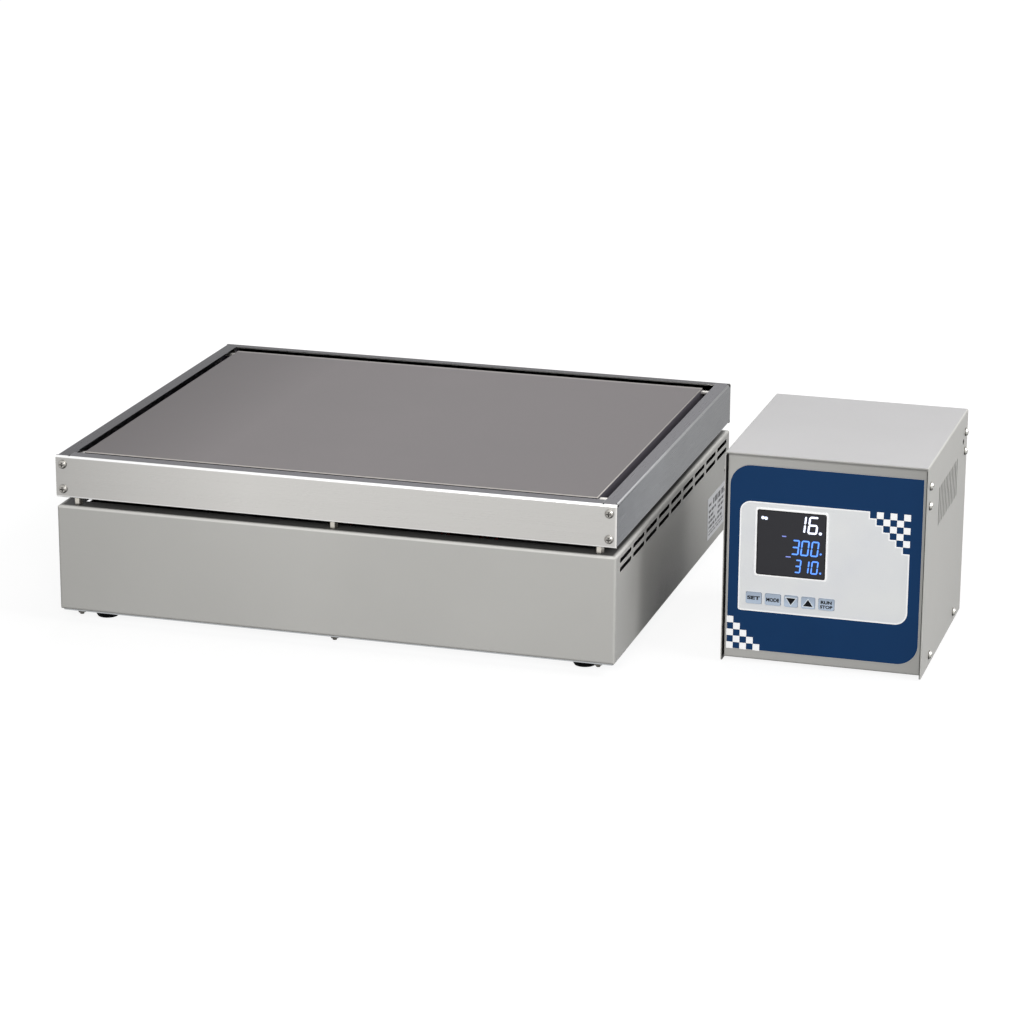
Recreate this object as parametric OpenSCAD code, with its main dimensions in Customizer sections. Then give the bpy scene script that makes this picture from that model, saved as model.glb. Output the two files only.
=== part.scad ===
// Bench hot plate in two free-standing units, in millimetres.
// The heating unit carries a large metal plate in a folded frame above a vented base.
// The controller is a box with a recessed front panel, a digital display and five keys.
// +Z is up and -Y is the front. The origin is under the middle of the whole set, on the bench.

/* [Heating plate] */
// Width of the heating plate
plate_w = 500; // [420:5:600]
// Depth of the heating plate
plate_d = 405; // [340:5:500]
// Thickness of the heating plate
plate_t = 12; // [10:0.5:14]
// How far the plate lies below the frame's lip
plate_drop = 1; // [0:0.5:4]
// How far the plate sits to the left of the frame's middle
plate_shift = 2; // [0:0.5:3]
// Chamfer on the plate's upper edges
plate_chamfer = 0.8; // [0.4:0.1:1.5]

/* [Heating unit] */
// Width of the frame's lip round the plate
lip_w = 14; // [12:0.5:18]
// Width of the lip at the rear, where the open channel is wider
rear_lip_w = 11; // [9:0.5:12]
// Open channel between the plate and the lip on the left and right
channel_side = 8; // [5:0.5:14]
// Open channel between the plate and the lip at front and rear
channel_end = 8.5; // [5:0.5:16]
// Height of the base casing, feet not counted
base_h = 102.5; // [90:0.5:130]
// Air gap that the spacers hold between base and frame
air_gap = 8; // [6:0.5:14]
// Height of the frame round the plate
frame_h = 41; // [40:0.5:60]
// Sheet thickness of base and frame
sheet_t = 1.2; // [1:0.1:1.5]
// Outside bend radius of base and frame
bend_r = 2.5; // [1.8:0.1:2.8]

/* [Vents and feet] */
// Vent slots in one row on a side of the base
vent_count = 9; // [4:1:12]
// Height of a vent slot
vent_w = 4.3; // [2.5:0.1:5]
// Sheet left between two vent slots of a row
vent_web = 7; // [6:0.5:16]
// Diameter of a foot under the heating unit
foot_d = 22; // [18:0.5:26]
// Height of a foot under the heating unit
foot_h = 10.8; // [10:0.2:16]

/* [Controller] */
// Outside width of the controller's cover
ctl_w = 186; // [180:1:230]
// Outside depth of the controller's cover
ctl_d = 214; // [208:1:260]
// Height of the controller's cover
cover_h = 199; // [196:1:240]
// Sheet thickness of the cover
cover_t = 1.5; // [1:0.1:2]
// How far the front and rear panels lie behind the cover's edges
panel_recess = 5; // [4.5:0.5:8]
// Distance from the heating unit to the controller
ctl_gap = 81; // [40:1:200]
// How far the controller's front stands behind the heating unit's front
ctl_setback = 74.5; // [0:0.5:120]

/* [Controller front] */
// Width of the coloured overlay on the front panel
overlay_w = 178; // [172:1:178]
// Height of the coloured overlay
overlay_h = 177; // [160:1:185]
// Width of the light facia on the overlay
facia_w = 156.6; // [140:0.2:165]
// Height of the light facia
facia_h = 104.6; // [102:0.2:112]
// Side of one square of the checker pattern
checker_cell = 6.2; // [4:0.1:6.6]
// Width of the display window
window_w = 63.6; // [58:0.2:66]
// Height of the display window
window_h = 61.5; // [55:0.5:63]
// Width of a lettered key
wide_key_w = 14.5; // [12:0.1:15]
// Width of an arrow key
arrow_key_w = 12.5; // [10:0.1:13]
// Height of every key
key_h = 10.6; // [8:0.1:12]
// Space between one key and the next
key_space = 3.4; // [3.2:0.1:4]
// Travel of a key
key_travel = 0.5; // [0.3:0.1:0.8]

/* [Hidden] */

// Circles are smooth, and cuts run past the faces they open
$fn = 48;
overrun = 1;

// Fits: loose holes, threads and pieces that slip into one another
loose = 0.25;
thread_play = 0.05;
slip = 0.3;

// Common fasteners: thread, pan head, recess and nut
screw_d = 4;
head_d = 8;
head_h = 2.6;
head_rim_share = 0.4;
head_top_share = 0.7;
recess_len_share = 0.55;
recess_w = 1;
recess_depth = 1.3;
nut_af = 7;
nut_h = 3.2;
thread_proud = 1.8;

// Outside of the base and of the frame, from the plate outwards
unit_w = plate_w + 2 * (channel_side + lip_w);
unit_d = plate_d + 2 * (channel_end + lip_w);

// Levels of the heating unit, counted from the bench
bottom_t = 1.2;
base_z0 = foot_h + bottom_t;
base_top = base_z0 + base_h;
frame_z0 = base_top + air_gap;
frame_top = frame_z0 + frame_h;
flange_top = frame_z0 + sheet_t;
shield_t = 1;
shield_top = flange_top + shield_t;
plate_top = frame_top - plate_drop;
plate_z0 = plate_top - plate_t;
mica_t = 2;
mica_z0 = plate_z0 - mica_t;
clamp_t = 2;
clamp_z0 = mica_z0 - clamp_t;

// Base casing, bottom sheet and vents
base_flange_w = 20;
bottom_inset = 2;
vent_row_drop = 7.6;
vent_row_step = 8.6;
vent_margin = 13.75;
vent_pitch = (unit_d - 2 * vent_margin + vent_web) / vent_count;
vent_len = vent_pitch - vent_web;
bottom_vent_len = 60;
bottom_vent_w = 4;
bottom_vent_count = 6;
bottom_vent_pitch = 14;
bottom_vent_x = 150;

// Feet and their screws
foot_base_d = foot_d - 2.4;
foot_rise = 2;
foot_inset_x = 36;
foot_inset_y = 30;
foot_recess_d = 11;
foot_recess_h = 5;
foot_places = [for (sx = [-1, 1], y = [foot_inset_y, unit_d - foot_inset_y])
    [sx * (unit_w / 2 - foot_inset_x), y]];

// Tie rods that clamp base, spacers and frame together
rod_d = 4;
rod_inset_x = 18;
rod_inset_y = 10;
spacer_af = 7;
rod_places = [for (sx = [-1, 0, 1], y = [rod_inset_y, unit_d - rod_inset_y])
    [sx * (unit_w / 2 - rod_inset_x), y]];

// Blank rating plate on the right side of the base
rating_w = 80;
rating_h = 43;
rating_t = 0.4;
rating_inset_y = 11;
rating_z = 11.3;

// Frame round the plate
side_flange_w = 26;
end_flange_w = 22;
corner_strip = bend_r + 0.5;
corner_gap = 0.3;
corner_relief_h = 3;
corner_notch = 2;
corner_notch_h = 2.8;
seam_notch = 1.6;
frame_screw_inset_x = 7;
frame_screw_inset_z = 8.5;
frame_screw_places = [
    for (sx = [-1, 1], z = [frame_z0 + frame_screw_inset_z, frame_top - frame_screw_inset_z])
        [sx * (unit_w / 2 - frame_screw_inset_x), z]
];

// Heat shield, insulation, clamp plate and heaters under the plate
shield_inset_x = 10;
shield_inset_y = 4;
insulation_inset = 15;
insulation_w = plate_w - 2 * insulation_inset;
insulation_d = plate_d - 2 * insulation_inset;
clamp_inset = 10;
clamp_w = plate_w - 2 * clamp_inset;
clamp_d = plate_d - 2 * clamp_inset;
bolt_d = 5;
bolt_head_af = 8;
bolt_head_h = 3.5;
bolt_tap = 8;
bolt_pocket_d = 12;
bolt_dx_share = 0.4;
bolt_dy_share = 0.375;
bolt_dx = plate_w * bolt_dx_share;
bolt_dy = plate_d * bolt_dy_share;
mica_gap = bolt_d + 1;
mica_w = insulation_w;
mica_d = (insulation_d - mica_gap) / 2;
bolt_places = [for (sx = [-1, 0, 1], sy = [-1, 0, 1]) [sx * bolt_dx, unit_d / 2 + sy * bolt_dy]];

// Brackets whose tongues enter slots in the plate's sides and carry it
bracket_t = 2;
bracket_bend = bend_r - sheet_t;
bracket_w = 6;
bracket_inset_y = 28;
bracket_foot_w = 8.5;
tongue_reach = 4;
tongue_drop = 2.2;
tongue_top = plate_top - tongue_drop;
bracket_places = [for (sx = [-1, 1], y = [bracket_inset_y, unit_d - bracket_inset_y]) [sx, y]];

// Terminal block, its leads and the connectors on the rear wall
block_w = 70;
block_d = 44;
block_h = 20;
block_x = 60;
lead_d = 3;
lead_dx = 20;
lead_dy = 10;
lead_seat = 5;
lead_hole_d = 8;
supply_dx = 8;
supply_bend = 60;
elbow_r = 12;
wire_z = base_z0 + block_h / 2;
rear_wire_z = wire_z + 2 * elbow_r;
lead_places = [for (sx = [-1, 1], sy = [-1, 1]) [block_x + sx * lead_dx, unit_d / 2 + sy * lead_dy]];

// Sensor probe in the plate and its lead to the rear jack
probe_d = 4.8;
probe_depth = 8;
probe_play = 0.1;
probe_x = -60;
probe_tail = 28;
probe_flange_d = 12;
probe_flange_h = 3;
probe_z0 = flange_top - probe_tail;

// Overheat thermostat under the shield
thermostat_d = 16;
thermostat_h = 8;
thermostat_flange_w = 30;
thermostat_flange_t = 1;
thermostat_x = 130;
tab_w = 6.3;
tab_t = 0.8;
tab_len = 8;
tab_dx = 4;

// Round power connectors: one on the base, one on the controller
socket_flange_w = 32;
socket_flange_t = 2.5;
socket_flange_r = 3;
socket_d = 26;
socket_bore_d = 22;
socket_reach = 12;
socket_depth = 14;
insert_recess = 3.5;
socket_pin_d = 2.5;
socket_pin_len = 3;
socket_pin_r = 6;
socket_pins = 4;

// Small round sensor jacks: one on the base, one on the controller
jack_flange_d = 18;
jack_flange_t = 2;
jack_d = 10;
jack_reach = 6;
jack_depth = 14;
jack_bore_d = 2.5;
jack_bore_depth = 5;

// Whole set: the controller's place, and the origin under the middle of both units
ctl_x0 = unit_w / 2 + ctl_gap;
ctl_y0 = ctl_setback;
set_x0 = -unit_w / 2;
set_x1 = ctl_x0 + ctl_w + head_h;
set_y0 = -head_h;
set_y1 = unit_d + socket_reach;
heater_x = -(set_x0 + set_x1) / 2;
heater_y = -(set_y0 + set_y1) / 2;

// Controller shell: cover, panels and chassis
cover_z0 = 1.5;
cover_inner_r = 0.3;
cover_bend = cover_t + cover_inner_r;
ctl_foot_h = 3;
ctl_foot_d = 14;
ctl_foot_inset_x = 22;
ctl_foot_inset_y = 23;
panel_t = 1.2;
panel_bend = 2;
panel_flange = 28;
panel_z0 = ctl_foot_h;
panel_z1 = cover_z0 + cover_h - cover_t;
panel_w = ctl_w - 2 * cover_t;
panel_back = panel_recess + panel_t;
rear_face = ctl_d - panel_recess;
rear_back = rear_face - panel_t;
chassis_t = 1.2;
chassis_gap = 1;
chassis_z0 = panel_z0 + panel_t;
chassis_top = chassis_z0 + chassis_t;
chassis_flange_h = 20;
chassis_flange_y0 = panel_recess + panel_flange + 1;

// Slots and screws in the cover's sides
louvre_count = 12;
louvre_w = 4;
louvre_h = 37.5;
louvre_pitch = 8.8;
louvre_y = 112;
louvre_drop = 53.2;
louvre_z = cover_z0 + cover_h - louvre_drop;
hook_slot_w = 6.6;
hook_slot_h = 5;
hook_slot_y = 22;
hook_slot_drop = 26.5;
hook_slot_z = cover_z0 + cover_h - hook_slot_drop;
cover_screw_len = 6;
upper_screw_inset = 12;
upper_screw_drop = 19.5;
upper_screw_z = cover_z0 + cover_h - upper_screw_drop;
upper_screw_step = 18.5;
lower_screw_inset = 42;
lower_screw_z = 11.5;
cover_screw_places = [
    [upper_screw_inset, upper_screw_z],
    [upper_screw_inset, upper_screw_z - upper_screw_step],
    [ctl_d - upper_screw_inset, upper_screw_z],
    [ctl_d - upper_screw_inset, upper_screw_z - upper_screw_step],
    [lower_screw_inset, lower_screw_z],
    [ctl_d - lower_screw_inset, lower_screw_z]
];

// Front artwork layers, the window and the keys
overlay_t = 0.4;
overlay_r = 20;
overlay_z = 100.4;
facia_t = 0.3;
facia_y0 = panel_recess - overlay_t - facia_t;
facia_x = 92.5;
facia_z = 102.4;
facia_r_top = 10;
facia_r_left = 2;
facia_r_right = 11.5;
checker_steps = 6;
window_x = 62.4;
window_z = 116.9;
window_r = 2;
window_flange = 2;
window_flange_t = 1;
bezel_w = 1.2;
bezel_t = 0.7;
window_drop = 0.3;
module_back = 16;
module_margin = 2;
first_key_x = 21.7;
key_z = 62.8;
key_r = 1.5;
key_proud = 1;
key_gap = 0.3;
key_flange = 1.2;
key_flange_t = 1;
key_widths = [wide_key_w, wide_key_w, arrow_key_w, arrow_key_w, wide_key_w];

// Left edge of a key, counted from the left of the row
function key_left(i) = i == 0 ? first_key_x : key_left(i - 1) + key_widths[i - 1] + key_space;
function key_x(i) = key_left(i) + key_widths[i] / 2;

// Display board behind the front panel
board_t = 1.6;
board_x0 = 14;
board_x1 = 112;
board_z0 = 46;
board_z1 = 158;
spacer_hex_af = 5.5;
board_inset = 4;
tact_w = 6;
tact_h = 3.8;
tact_stem_d = 3.4;
key_back = panel_back + key_gap + key_flange_t;
tact_tip = key_back + key_travel + key_gap;

// Control board and its parts on the chassis
control_x0 = 14;
control_y0 = 46;
control_w = 100;
control_d = 110;
control_lift = 8;
control_z = chassis_top + control_lift;
control_top = control_z + board_t;
capacitor_d = 18;
capacitor_h = 30;
capacitor_x = 20;
capacitor_y = 24;
capacitor_step = 24;
small_relay = [28, 12, 16];
small_relay_x = 60;
small_relay_y = 14;
small_relay_step = 18;
chip = [12, 32, 4];
chip_x = 44;
chip_y = 60;
header_block = [70, 10, 12];
header_x = 15;
header_inset = 4;

// Transformer on the chassis
core_w = 54;
core_d = 22;
core_h = 45;
core_leg = 9;
core_window_w = 9;
coil_d = 40;
coil_play = 0.2;
transformer_x = 148;
transformer_y = 68;

// Relay on a finned heat sink behind the right-hand slots
sink_x0 = 148;
sink_y0 = 112;
sink_base_t = 4;
sink_w = 60;
sink_h = 100;
fin_count = 8;
fin_t = 1.5;
fin_len = 22;
relay_w = 44;
relay_h = 58;
relay_t = 22;
relay_z = 40;

// Terminal strip on the chassis
strip_x0 = 20;
strip_y0 = 166;
strip_w = 84;
strip_d = 20;
strip_h = 12;
strip_ways = 6;
rib_t = 1.6;
rib_h = 5;
strip_screw_d = 5;
strip_screw_h = 2;

// Rear panel layout
rear_col_x = 148;
inlet_z = 36;
switch_z = 78;
fuse_z = 114;
outlet_x = 92;
outlet_z = 42;
jack_x = 46;

// Mains inlet
inlet_flange_w = 32;
inlet_flange_h = 25;
inlet_flange_t = 2;
inlet_body_w = 27;
inlet_body_h = 20;
inlet_body_depth = 22;
inlet_cavity_w = 24.6;
inlet_cavity_h = 17;
inlet_cavity_depth = 16;
blade_w = 2;
blade_h = 4;
blade_len = 11;
blade_dx = 7;
blade_rise = 2;

// Power switch and its rocker
switch_flange_w = 24;
switch_flange_h = 32;
switch_flange_t = 1.5;
switch_body_w = 21;
switch_body_h = 28;
switch_body_depth = 20;
pocket_w = 16.6;
pocket_h = 24;
pocket_depth = 12;
rocker_w = 16;
rocker_len = 21;
rocker_axis_depth = 4;
rocker_back = 3;
rocker_nose = 5.5;
rocker_valley = 3.5;
rocker_pin_d = 3;
rocker_pin_grip = 1.5;
rocker_angle = 9;

// Fuse holder
fuse_body_d = 12.5;
fuse_body_len = 30;
fuse_flange_d = 17;
fuse_flange_t = 2;
fuse_cap_d = 14;
fuse_cap_len = 8;
fuse_slot_w = 1.6;
fuse_slot_depth = 2;

// Places one unit in the set
module at_heater() { translate([heater_x, heater_y, 0]) children(); }
module at_controller() { translate([heater_x + ctl_x0, heater_y + ctl_y0, 0]) children(); }

// Flat shape in X and Z, made solid from y0 back to y1
module upright(y0, y1) {
    translate([0, y1, 0]) rotate([90, 0, 0]) linear_extrude(y1 - y0) children();
}

// Flat shape in Y and Z, made solid from x0 to x1
module sideways(x0, x1) {
    translate([x0, 0, 0]) rotate([90, 0, 90]) linear_extrude(x1 - x0) children();
}

// Something drawn along +Z, turned to point out of a rear face
module out_of_rear(x, y, z) {
    translate([x, y, z]) rotate([-90, 0, 0]) children();
}

// Rectangle about the origin with round corners
module soft_rect(w, h, r) {
    square([w - 2 * r, h], center = true);
    square([w, h - 2 * r], center = true);
    for (sx = [-1, 1], sy = [-1, 1])
        translate([sx * (w / 2 - r), sy * (h / 2 - r)]) circle(r);
}

// Slot with round ends, along X
module slot_shape(len, w) {
    square([len - w, w], center = true);
    for (s = [-1, 1])
        translate([s * (len - w) / 2, 0]) circle(d = w);
}

// Box with every edge rounded as a folded sheet is, standing on z = 0
module soft_box(w, d, h, r) {
    intersection() {
        linear_extrude(h) soft_rect(w, d, r);
        translate([0, 0, h / 2]) upright(-d / 2, d / 2) soft_rect(w, h, r);
        translate([0, 0, h / 2]) sideways(-w / 2, w / 2) soft_rect(d, h, r);
    }
}

// Block from the wall side x = 0, whose two wall-side corners are round
module bend_block(w, h, r) {
    translate([r, 0]) square([w - r, h]);
    translate([0, r]) square([r, h - 2 * r]);
    for (y = [r, h - r])
        translate([r, y]) circle(r);
}

// Folded channel: a wall at x = 0, a lip at the top and a flange at the bottom
module channel_shape(h, lip, flange) {
    difference() {
        bend_block(flange, h, bend_r);
        translate([sheet_t, sheet_t]) bend_block(flange, h - 2 * sheet_t, bend_r - sheet_t);
        translate([lip, h / 2]) square([flange, h]);
    }
}

// Pan head screw: head above z = 0, shaft below it
module pan_screw(length) {
    difference() {
        rotate_extrude() polygon([
            [0, 0], [head_d / 2, 0], [head_d / 2, head_h * head_rim_share],
            [head_d / 2 * head_top_share, head_h], [0, head_h]
        ]);
        translate([0, 0, head_h - recess_depth]) linear_extrude(recess_depth + overrun) {
            square([head_d * recess_len_share, recess_w], center = true);
            square([recess_w, head_d * recess_len_share], center = true);
        }
    }
    translate([0, 0, -length]) cylinder(d = screw_d, h = length);
}

// Nut standing on z = 0 with its bore free of the thread by a hair
module hex_nut(af, h, bore) {
    difference() {
        cylinder(d = af / cos(30), h = h, $fn = 6);
        translate([0, 0, -overrun]) cylinder(d = bore + 2 * thread_play, h = h + 2 * overrun);
    }
}

// Upright holes at a list of places, from z0 to z1
module holes_at(places, d, z0, z1) {
    for (p = places)
        translate([p.x, p.y, z0 - overrun]) cylinder(d = d, h = z1 - z0 + 2 * overrun);
}

// Holes through the rear wall of the base for its two connectors
module base_rear_holes() {
    out_of_rear(block_x, unit_d - sheet_t - overrun, rear_wire_z)
        cylinder(d = socket_d + 2 * loose, h = sheet_t + 2 * overrun);
    out_of_rear(probe_x, unit_d - sheet_t - overrun, rear_wire_z)
        cylinder(d = jack_d + 2 * loose, h = sheet_t + 2 * overrun);
}

// Vent slots in two rows, cut through both side walls of the base
module side_vents() {
    for (row = [0, 1], i = [0 : vent_count - 1])
        translate([0, unit_d / 2 + (i - (vent_count - 1) / 2) * vent_pitch,
                   base_top - vent_row_drop - row * vent_row_step])
            sideways(-unit_w / 2 - overrun, unit_w / 2 + overrun) slot_shape(vent_len, vent_w);
}

module base_casing() {
    color("#b4b4af") at_heater() difference() {
        translate([0, unit_d / 2, base_z0]) soft_box(unit_w, unit_d, base_h, bend_r);
        translate([0, unit_d / 2, base_z0 + sheet_t])
            soft_box(unit_w - 2 * sheet_t, unit_d - 2 * sheet_t, base_h - 2 * sheet_t, bend_r - sheet_t);
        translate([0, unit_d / 2, base_z0 - overrun]) linear_extrude(base_h + 2 * overrun)
            square([unit_w - 2 * base_flange_w, unit_d - 2 * base_flange_w], center = true);
        side_vents();
        holes_at(rod_places, rod_d + 2 * loose, base_z0, base_top);
        base_rear_holes();
    }
}

module base_bottom() {
    color("#8f8f8c") at_heater() difference() {
        translate([0, unit_d / 2, foot_h]) linear_extrude(bottom_t)
            soft_rect(unit_w - 2 * bottom_inset, unit_d - 2 * bottom_inset, bend_r);
        holes_at(rod_places, rod_d + 2 * loose, foot_h, base_z0);
        holes_at(foot_places, screw_d + 2 * loose, foot_h, base_z0);
        for (sx = [-1, 1], i = [0 : bottom_vent_count - 1])
            translate([sx * bottom_vent_x, unit_d / 2 + (i - (bottom_vent_count - 1) / 2) * bottom_vent_pitch,
                       foot_h - overrun])
                linear_extrude(bottom_t + 2 * overrun) slot_shape(bottom_vent_len, bottom_vent_w);
    }
}

module rubber_feet() {
    color("#1d1d1f") at_heater() for (p = foot_places) translate([p.x, p.y, 0]) difference() {
        rotate_extrude() polygon([
            [0, 0], [foot_base_d / 2, 0], [foot_d / 2, foot_rise], [foot_d / 2, foot_h], [0, foot_h]
        ]);
        translate([0, 0, -overrun]) cylinder(d = foot_recess_d, h = foot_recess_h + overrun);
        cylinder(d = screw_d + 2 * loose, h = foot_h + overrun);
    }
}

module foot_screws() {
    color("#c9c9c6") at_heater() for (p = foot_places)
        translate([p.x, p.y, foot_recess_h]) rotate([180, 0, 0])
            pan_screw(base_z0 - foot_recess_h + nut_h + thread_proud);
}

module tie_rods() {
    color("#c4c4c2") at_heater() for (p = rod_places)
        translate([p.x, p.y, foot_h - nut_h - thread_proud])
            cylinder(d = rod_d, h = shield_top - foot_h + 2 * (nut_h + thread_proud));
}

module hex_spacers() {
    color("#c8c6c0") at_heater() for (p = rod_places) translate([p.x, p.y, base_top]) difference() {
        cylinder(d = spacer_af / cos(30), h = air_gap, $fn = 6);
        translate([0, 0, -overrun]) cylinder(d = rod_d + 2 * loose, h = air_gap + 2 * overrun);
    }
}

// Nuts of the rods, of the feet and of the frame's screws
module unit_nuts() {
    color("#c9c9c6") at_heater() {
        for (p = rod_places, z = [foot_h - nut_h, shield_top])
            translate([p.x, p.y, z]) hex_nut(nut_af, nut_h, rod_d);
        for (p = foot_places)
            translate([p.x, p.y, base_z0]) hex_nut(nut_af, nut_h, screw_d);
        for (p = frame_screw_places) {
            out_of_rear(p[0], 2 * sheet_t, p[1]) hex_nut(nut_af, nut_h, screw_d);
            out_of_rear(p[0], unit_d - 2 * sheet_t - nut_h, p[1]) hex_nut(nut_af, nut_h, screw_d);
        }
    }
}

module rating_plate() {
    color("#c6c9cc") at_heater()
        translate([unit_w / 2, unit_d - rating_inset_y - rating_w, base_z0 + rating_z])
            cube([rating_t, rating_w, rating_h]);
}

module terminal_block() {
    color("#e6e0d2") at_heater() difference() {
        translate([block_x - block_w / 2, unit_d / 2 - block_d / 2, base_z0])
            cube([block_w, block_d, block_h]);
        for (p = lead_places)
            translate([p.x, p.y, base_z0 + block_h - lead_seat])
                cylinder(d = lead_d + 2 * loose, h = lead_seat + overrun);
        for (s = [-1, 1])
            out_of_rear(block_x + s * supply_dx, (unit_d + block_d) / 2 - lead_seat, wire_z)
                cylinder(d = lead_d + 2 * loose, h = lead_seat + overrun);
    }
}

// Quarter bend of a lead in the plane of Y and Z, from one angle on by 90 degrees
module lead_elbow(x, y, z, from) {
    translate([x, y, z]) rotate([90, 0, 90]) rotate([0, 0, from])
        rotate_extrude(angle = 90) translate([elbow_r, 0]) circle(d = lead_d);
}

// Lead from the block back to the inlet, with an S bend up to the inlet's height
module supply_lead(x) {
    start_y = (unit_d + block_d) / 2 - lead_seat;
    bend_y = (unit_d + block_d) / 2 + supply_bend;
    out_of_rear(x, start_y, wire_z) cylinder(d = lead_d, h = bend_y - start_y);
    lead_elbow(x, bend_y, wire_z + elbow_r, 270);
    lead_elbow(x, bend_y + 2 * elbow_r, wire_z + elbow_r, 90);
    out_of_rear(x, bend_y + 2 * elbow_r, rear_wire_z)
        cylinder(d = lead_d, h = unit_d - socket_depth - bend_y - 2 * elbow_r);
}

// Leads from the heaters to the block, from the block to the inlet, and from the probe to the jack
module unit_wiring() {
    lead_z0 = base_z0 + block_h - lead_seat;
    color("#a33a2c") at_heater() {
        for (p = lead_places)
            translate([p.x, p.y, lead_z0]) cylinder(d = lead_d, h = mica_z0 - lead_z0);
        for (s = [-1, 1])
            supply_lead(block_x + s * supply_dx);
        translate([probe_x, unit_d / 2, rear_wire_z + elbow_r])
            cylinder(d = lead_d, h = probe_z0 - rear_wire_z - elbow_r);
        lead_elbow(probe_x, unit_d / 2 + elbow_r, rear_wire_z + elbow_r, 180);
        out_of_rear(probe_x, unit_d / 2 + elbow_r, rear_wire_z)
            cylinder(d = lead_d, h = unit_d / 2 - elbow_r - jack_depth);
    }
}

// Shell of a round connector, its flange's back on z = 0
module socket_shell() {
    difference() {
        union() {
            linear_extrude(socket_flange_t) soft_rect(socket_flange_w, socket_flange_w, socket_flange_r);
            translate([0, 0, -socket_depth]) cylinder(d = socket_d, h = socket_depth + socket_reach);
        }
        translate([0, 0, -socket_depth - overrun])
            cylinder(d = socket_bore_d, h = socket_depth + socket_reach + 2 * overrun);
    }
}

// Insulating insert of a round connector with its contact pins
module socket_insert() {
    face = socket_reach - insert_recess;
    translate([0, 0, -socket_depth])
        cylinder(d = socket_bore_d - 2 * thread_play, h = socket_depth + face);
    for (i = [0 : socket_pins - 1])
        rotate([0, 0, 45 + i * 360 / socket_pins]) translate([socket_pin_r, 0, face])
            cylinder(d = socket_pin_d, h = socket_pin_len);
}

// Small round jack with one bore, its flange's back on z = 0
module round_jack() {
    difference() {
        union() {
            cylinder(d = jack_flange_d, h = jack_flange_t);
            translate([0, 0, -jack_depth]) cylinder(d = jack_d, h = jack_depth + jack_reach);
        }
        translate([0, 0, jack_reach - jack_bore_depth])
            cylinder(d = jack_bore_d, h = jack_bore_depth + overrun);
    }
}

// Connectors on the rear wall of the base
module heater_inlet() {
    color("#bcbcba") at_heater() out_of_rear(block_x, unit_d, rear_wire_z) socket_shell();
}

module inlet_insert() {
    color("#2a2a2c") at_heater() out_of_rear(block_x, unit_d, rear_wire_z) socket_insert();
}

module sensor_jack() {
    color("#cfc9a8") at_heater() out_of_rear(probe_x, unit_d, rear_wire_z) round_jack();
}

// Small relief holes where the lips of the frame's sides and ends meet
module seam_notches() {
    for (sx = [-1, 1], y = [sheet_t, unit_d - corner_strip - seam_notch])
        translate([sx * (unit_w / 2 - lip_w + seam_notch / 2) - seam_notch / 2,
                   y, frame_top - corner_notch_h])
            cube([seam_notch, corner_strip - sheet_t + seam_notch, corner_notch_h + overrun]);
}

// Left or right side of the frame, drawn for the right side
module frame_side() {
    side_y0 = sheet_t;
    side_y1 = unit_d - sheet_t;
    notch_len = corner_strip + corner_gap + overrun;
    difference() {
        union() {
            translate([unit_w / 2, 0, frame_z0]) mirror([1, 0, 0])
                upright(side_y0, side_y1) channel_shape(frame_h, lip_w, side_flange_w);
            for (y = [side_y0, side_y1 - sheet_t])
                translate([unit_w / 2 - lip_w, y, frame_z0 + corner_relief_h + corner_gap])
                    cube([lip_w - sheet_t / 2, sheet_t, frame_h - 2 * (corner_relief_h + corner_gap)]);
        }
        for (y = [-overrun, unit_d - corner_strip - corner_gap],
             z = [frame_z0 - overrun, frame_top - corner_relief_h])
            translate([unit_w / 2 - side_flange_w - overrun, y, z])
                cube([side_flange_w + 2 * overrun, notch_len, corner_relief_h + overrun]);
        for (y = [0, unit_d - notch_len - corner_notch])
            translate([unit_w / 2 - bend_r, y, frame_top - corner_notch_h])
                cube([bend_r + overrun, notch_len + corner_notch, corner_notch_h + overrun]);
        seam_notches();
        holes_at(rod_places, rod_d + 2 * loose, frame_z0, flange_top);
        for (p = frame_screw_places)
            out_of_rear(p[0], 0, p[1]) cylinder(d = screw_d + 2 * loose, h = unit_d);
    }
}

module frame_right() { color("#8f9297") at_heater() frame_side(); }
module frame_left() { color("#8f9297") at_heater() mirror([1, 0, 0]) frame_side(); }

// Front or rear of the frame, drawn for the front
module frame_end(lip) {
    lip_half = unit_w / 2 - lip_w;
    flange_half = unit_w / 2 - side_flange_w;
    difference() {
        translate([0, 0, frame_z0]) sideways(-unit_w / 2, unit_w / 2)
            channel_shape(frame_h, lip, end_flange_w);
        for (sx = [-1, 1]) {
            translate([sx > 0 ? lip_half : -unit_w / 2 - overrun, corner_strip, frame_z0 + frame_h / 2])
                cube([lip_w + overrun, end_flange_w, frame_h]);
            translate([sx > 0 ? flange_half - corner_gap : -unit_w / 2 - overrun,
                       corner_strip, frame_z0 - overrun])
                cube([side_flange_w + corner_gap + overrun, end_flange_w, frame_h / 2 + 2 * overrun]);
        }
        seam_notches();
        holes_at(rod_places, rod_d + 2 * loose, frame_z0, flange_top);
        for (p = frame_screw_places)
            out_of_rear(p[0], -overrun, p[1]) cylinder(d = screw_d + 2 * loose, h = sheet_t + 2 * overrun);
    }
}

module frame_front() { color("#c3beb6") at_heater() frame_end(lip_w); }
module frame_rear() {
    color("#c3beb6") at_heater() translate([0, unit_d, 0]) mirror([0, 1, 0]) frame_end(rear_lip_w);
}

module frame_screws() {
    grip = 2 * sheet_t + nut_h + thread_proud;
    color("#d6d6d3") at_heater() for (p = frame_screw_places) {
        translate([p[0], 0, p[1]]) rotate([90, 0, 0]) pan_screw(grip);
        out_of_rear(p[0], unit_d, p[1]) pan_screw(grip);
    }
}

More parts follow.
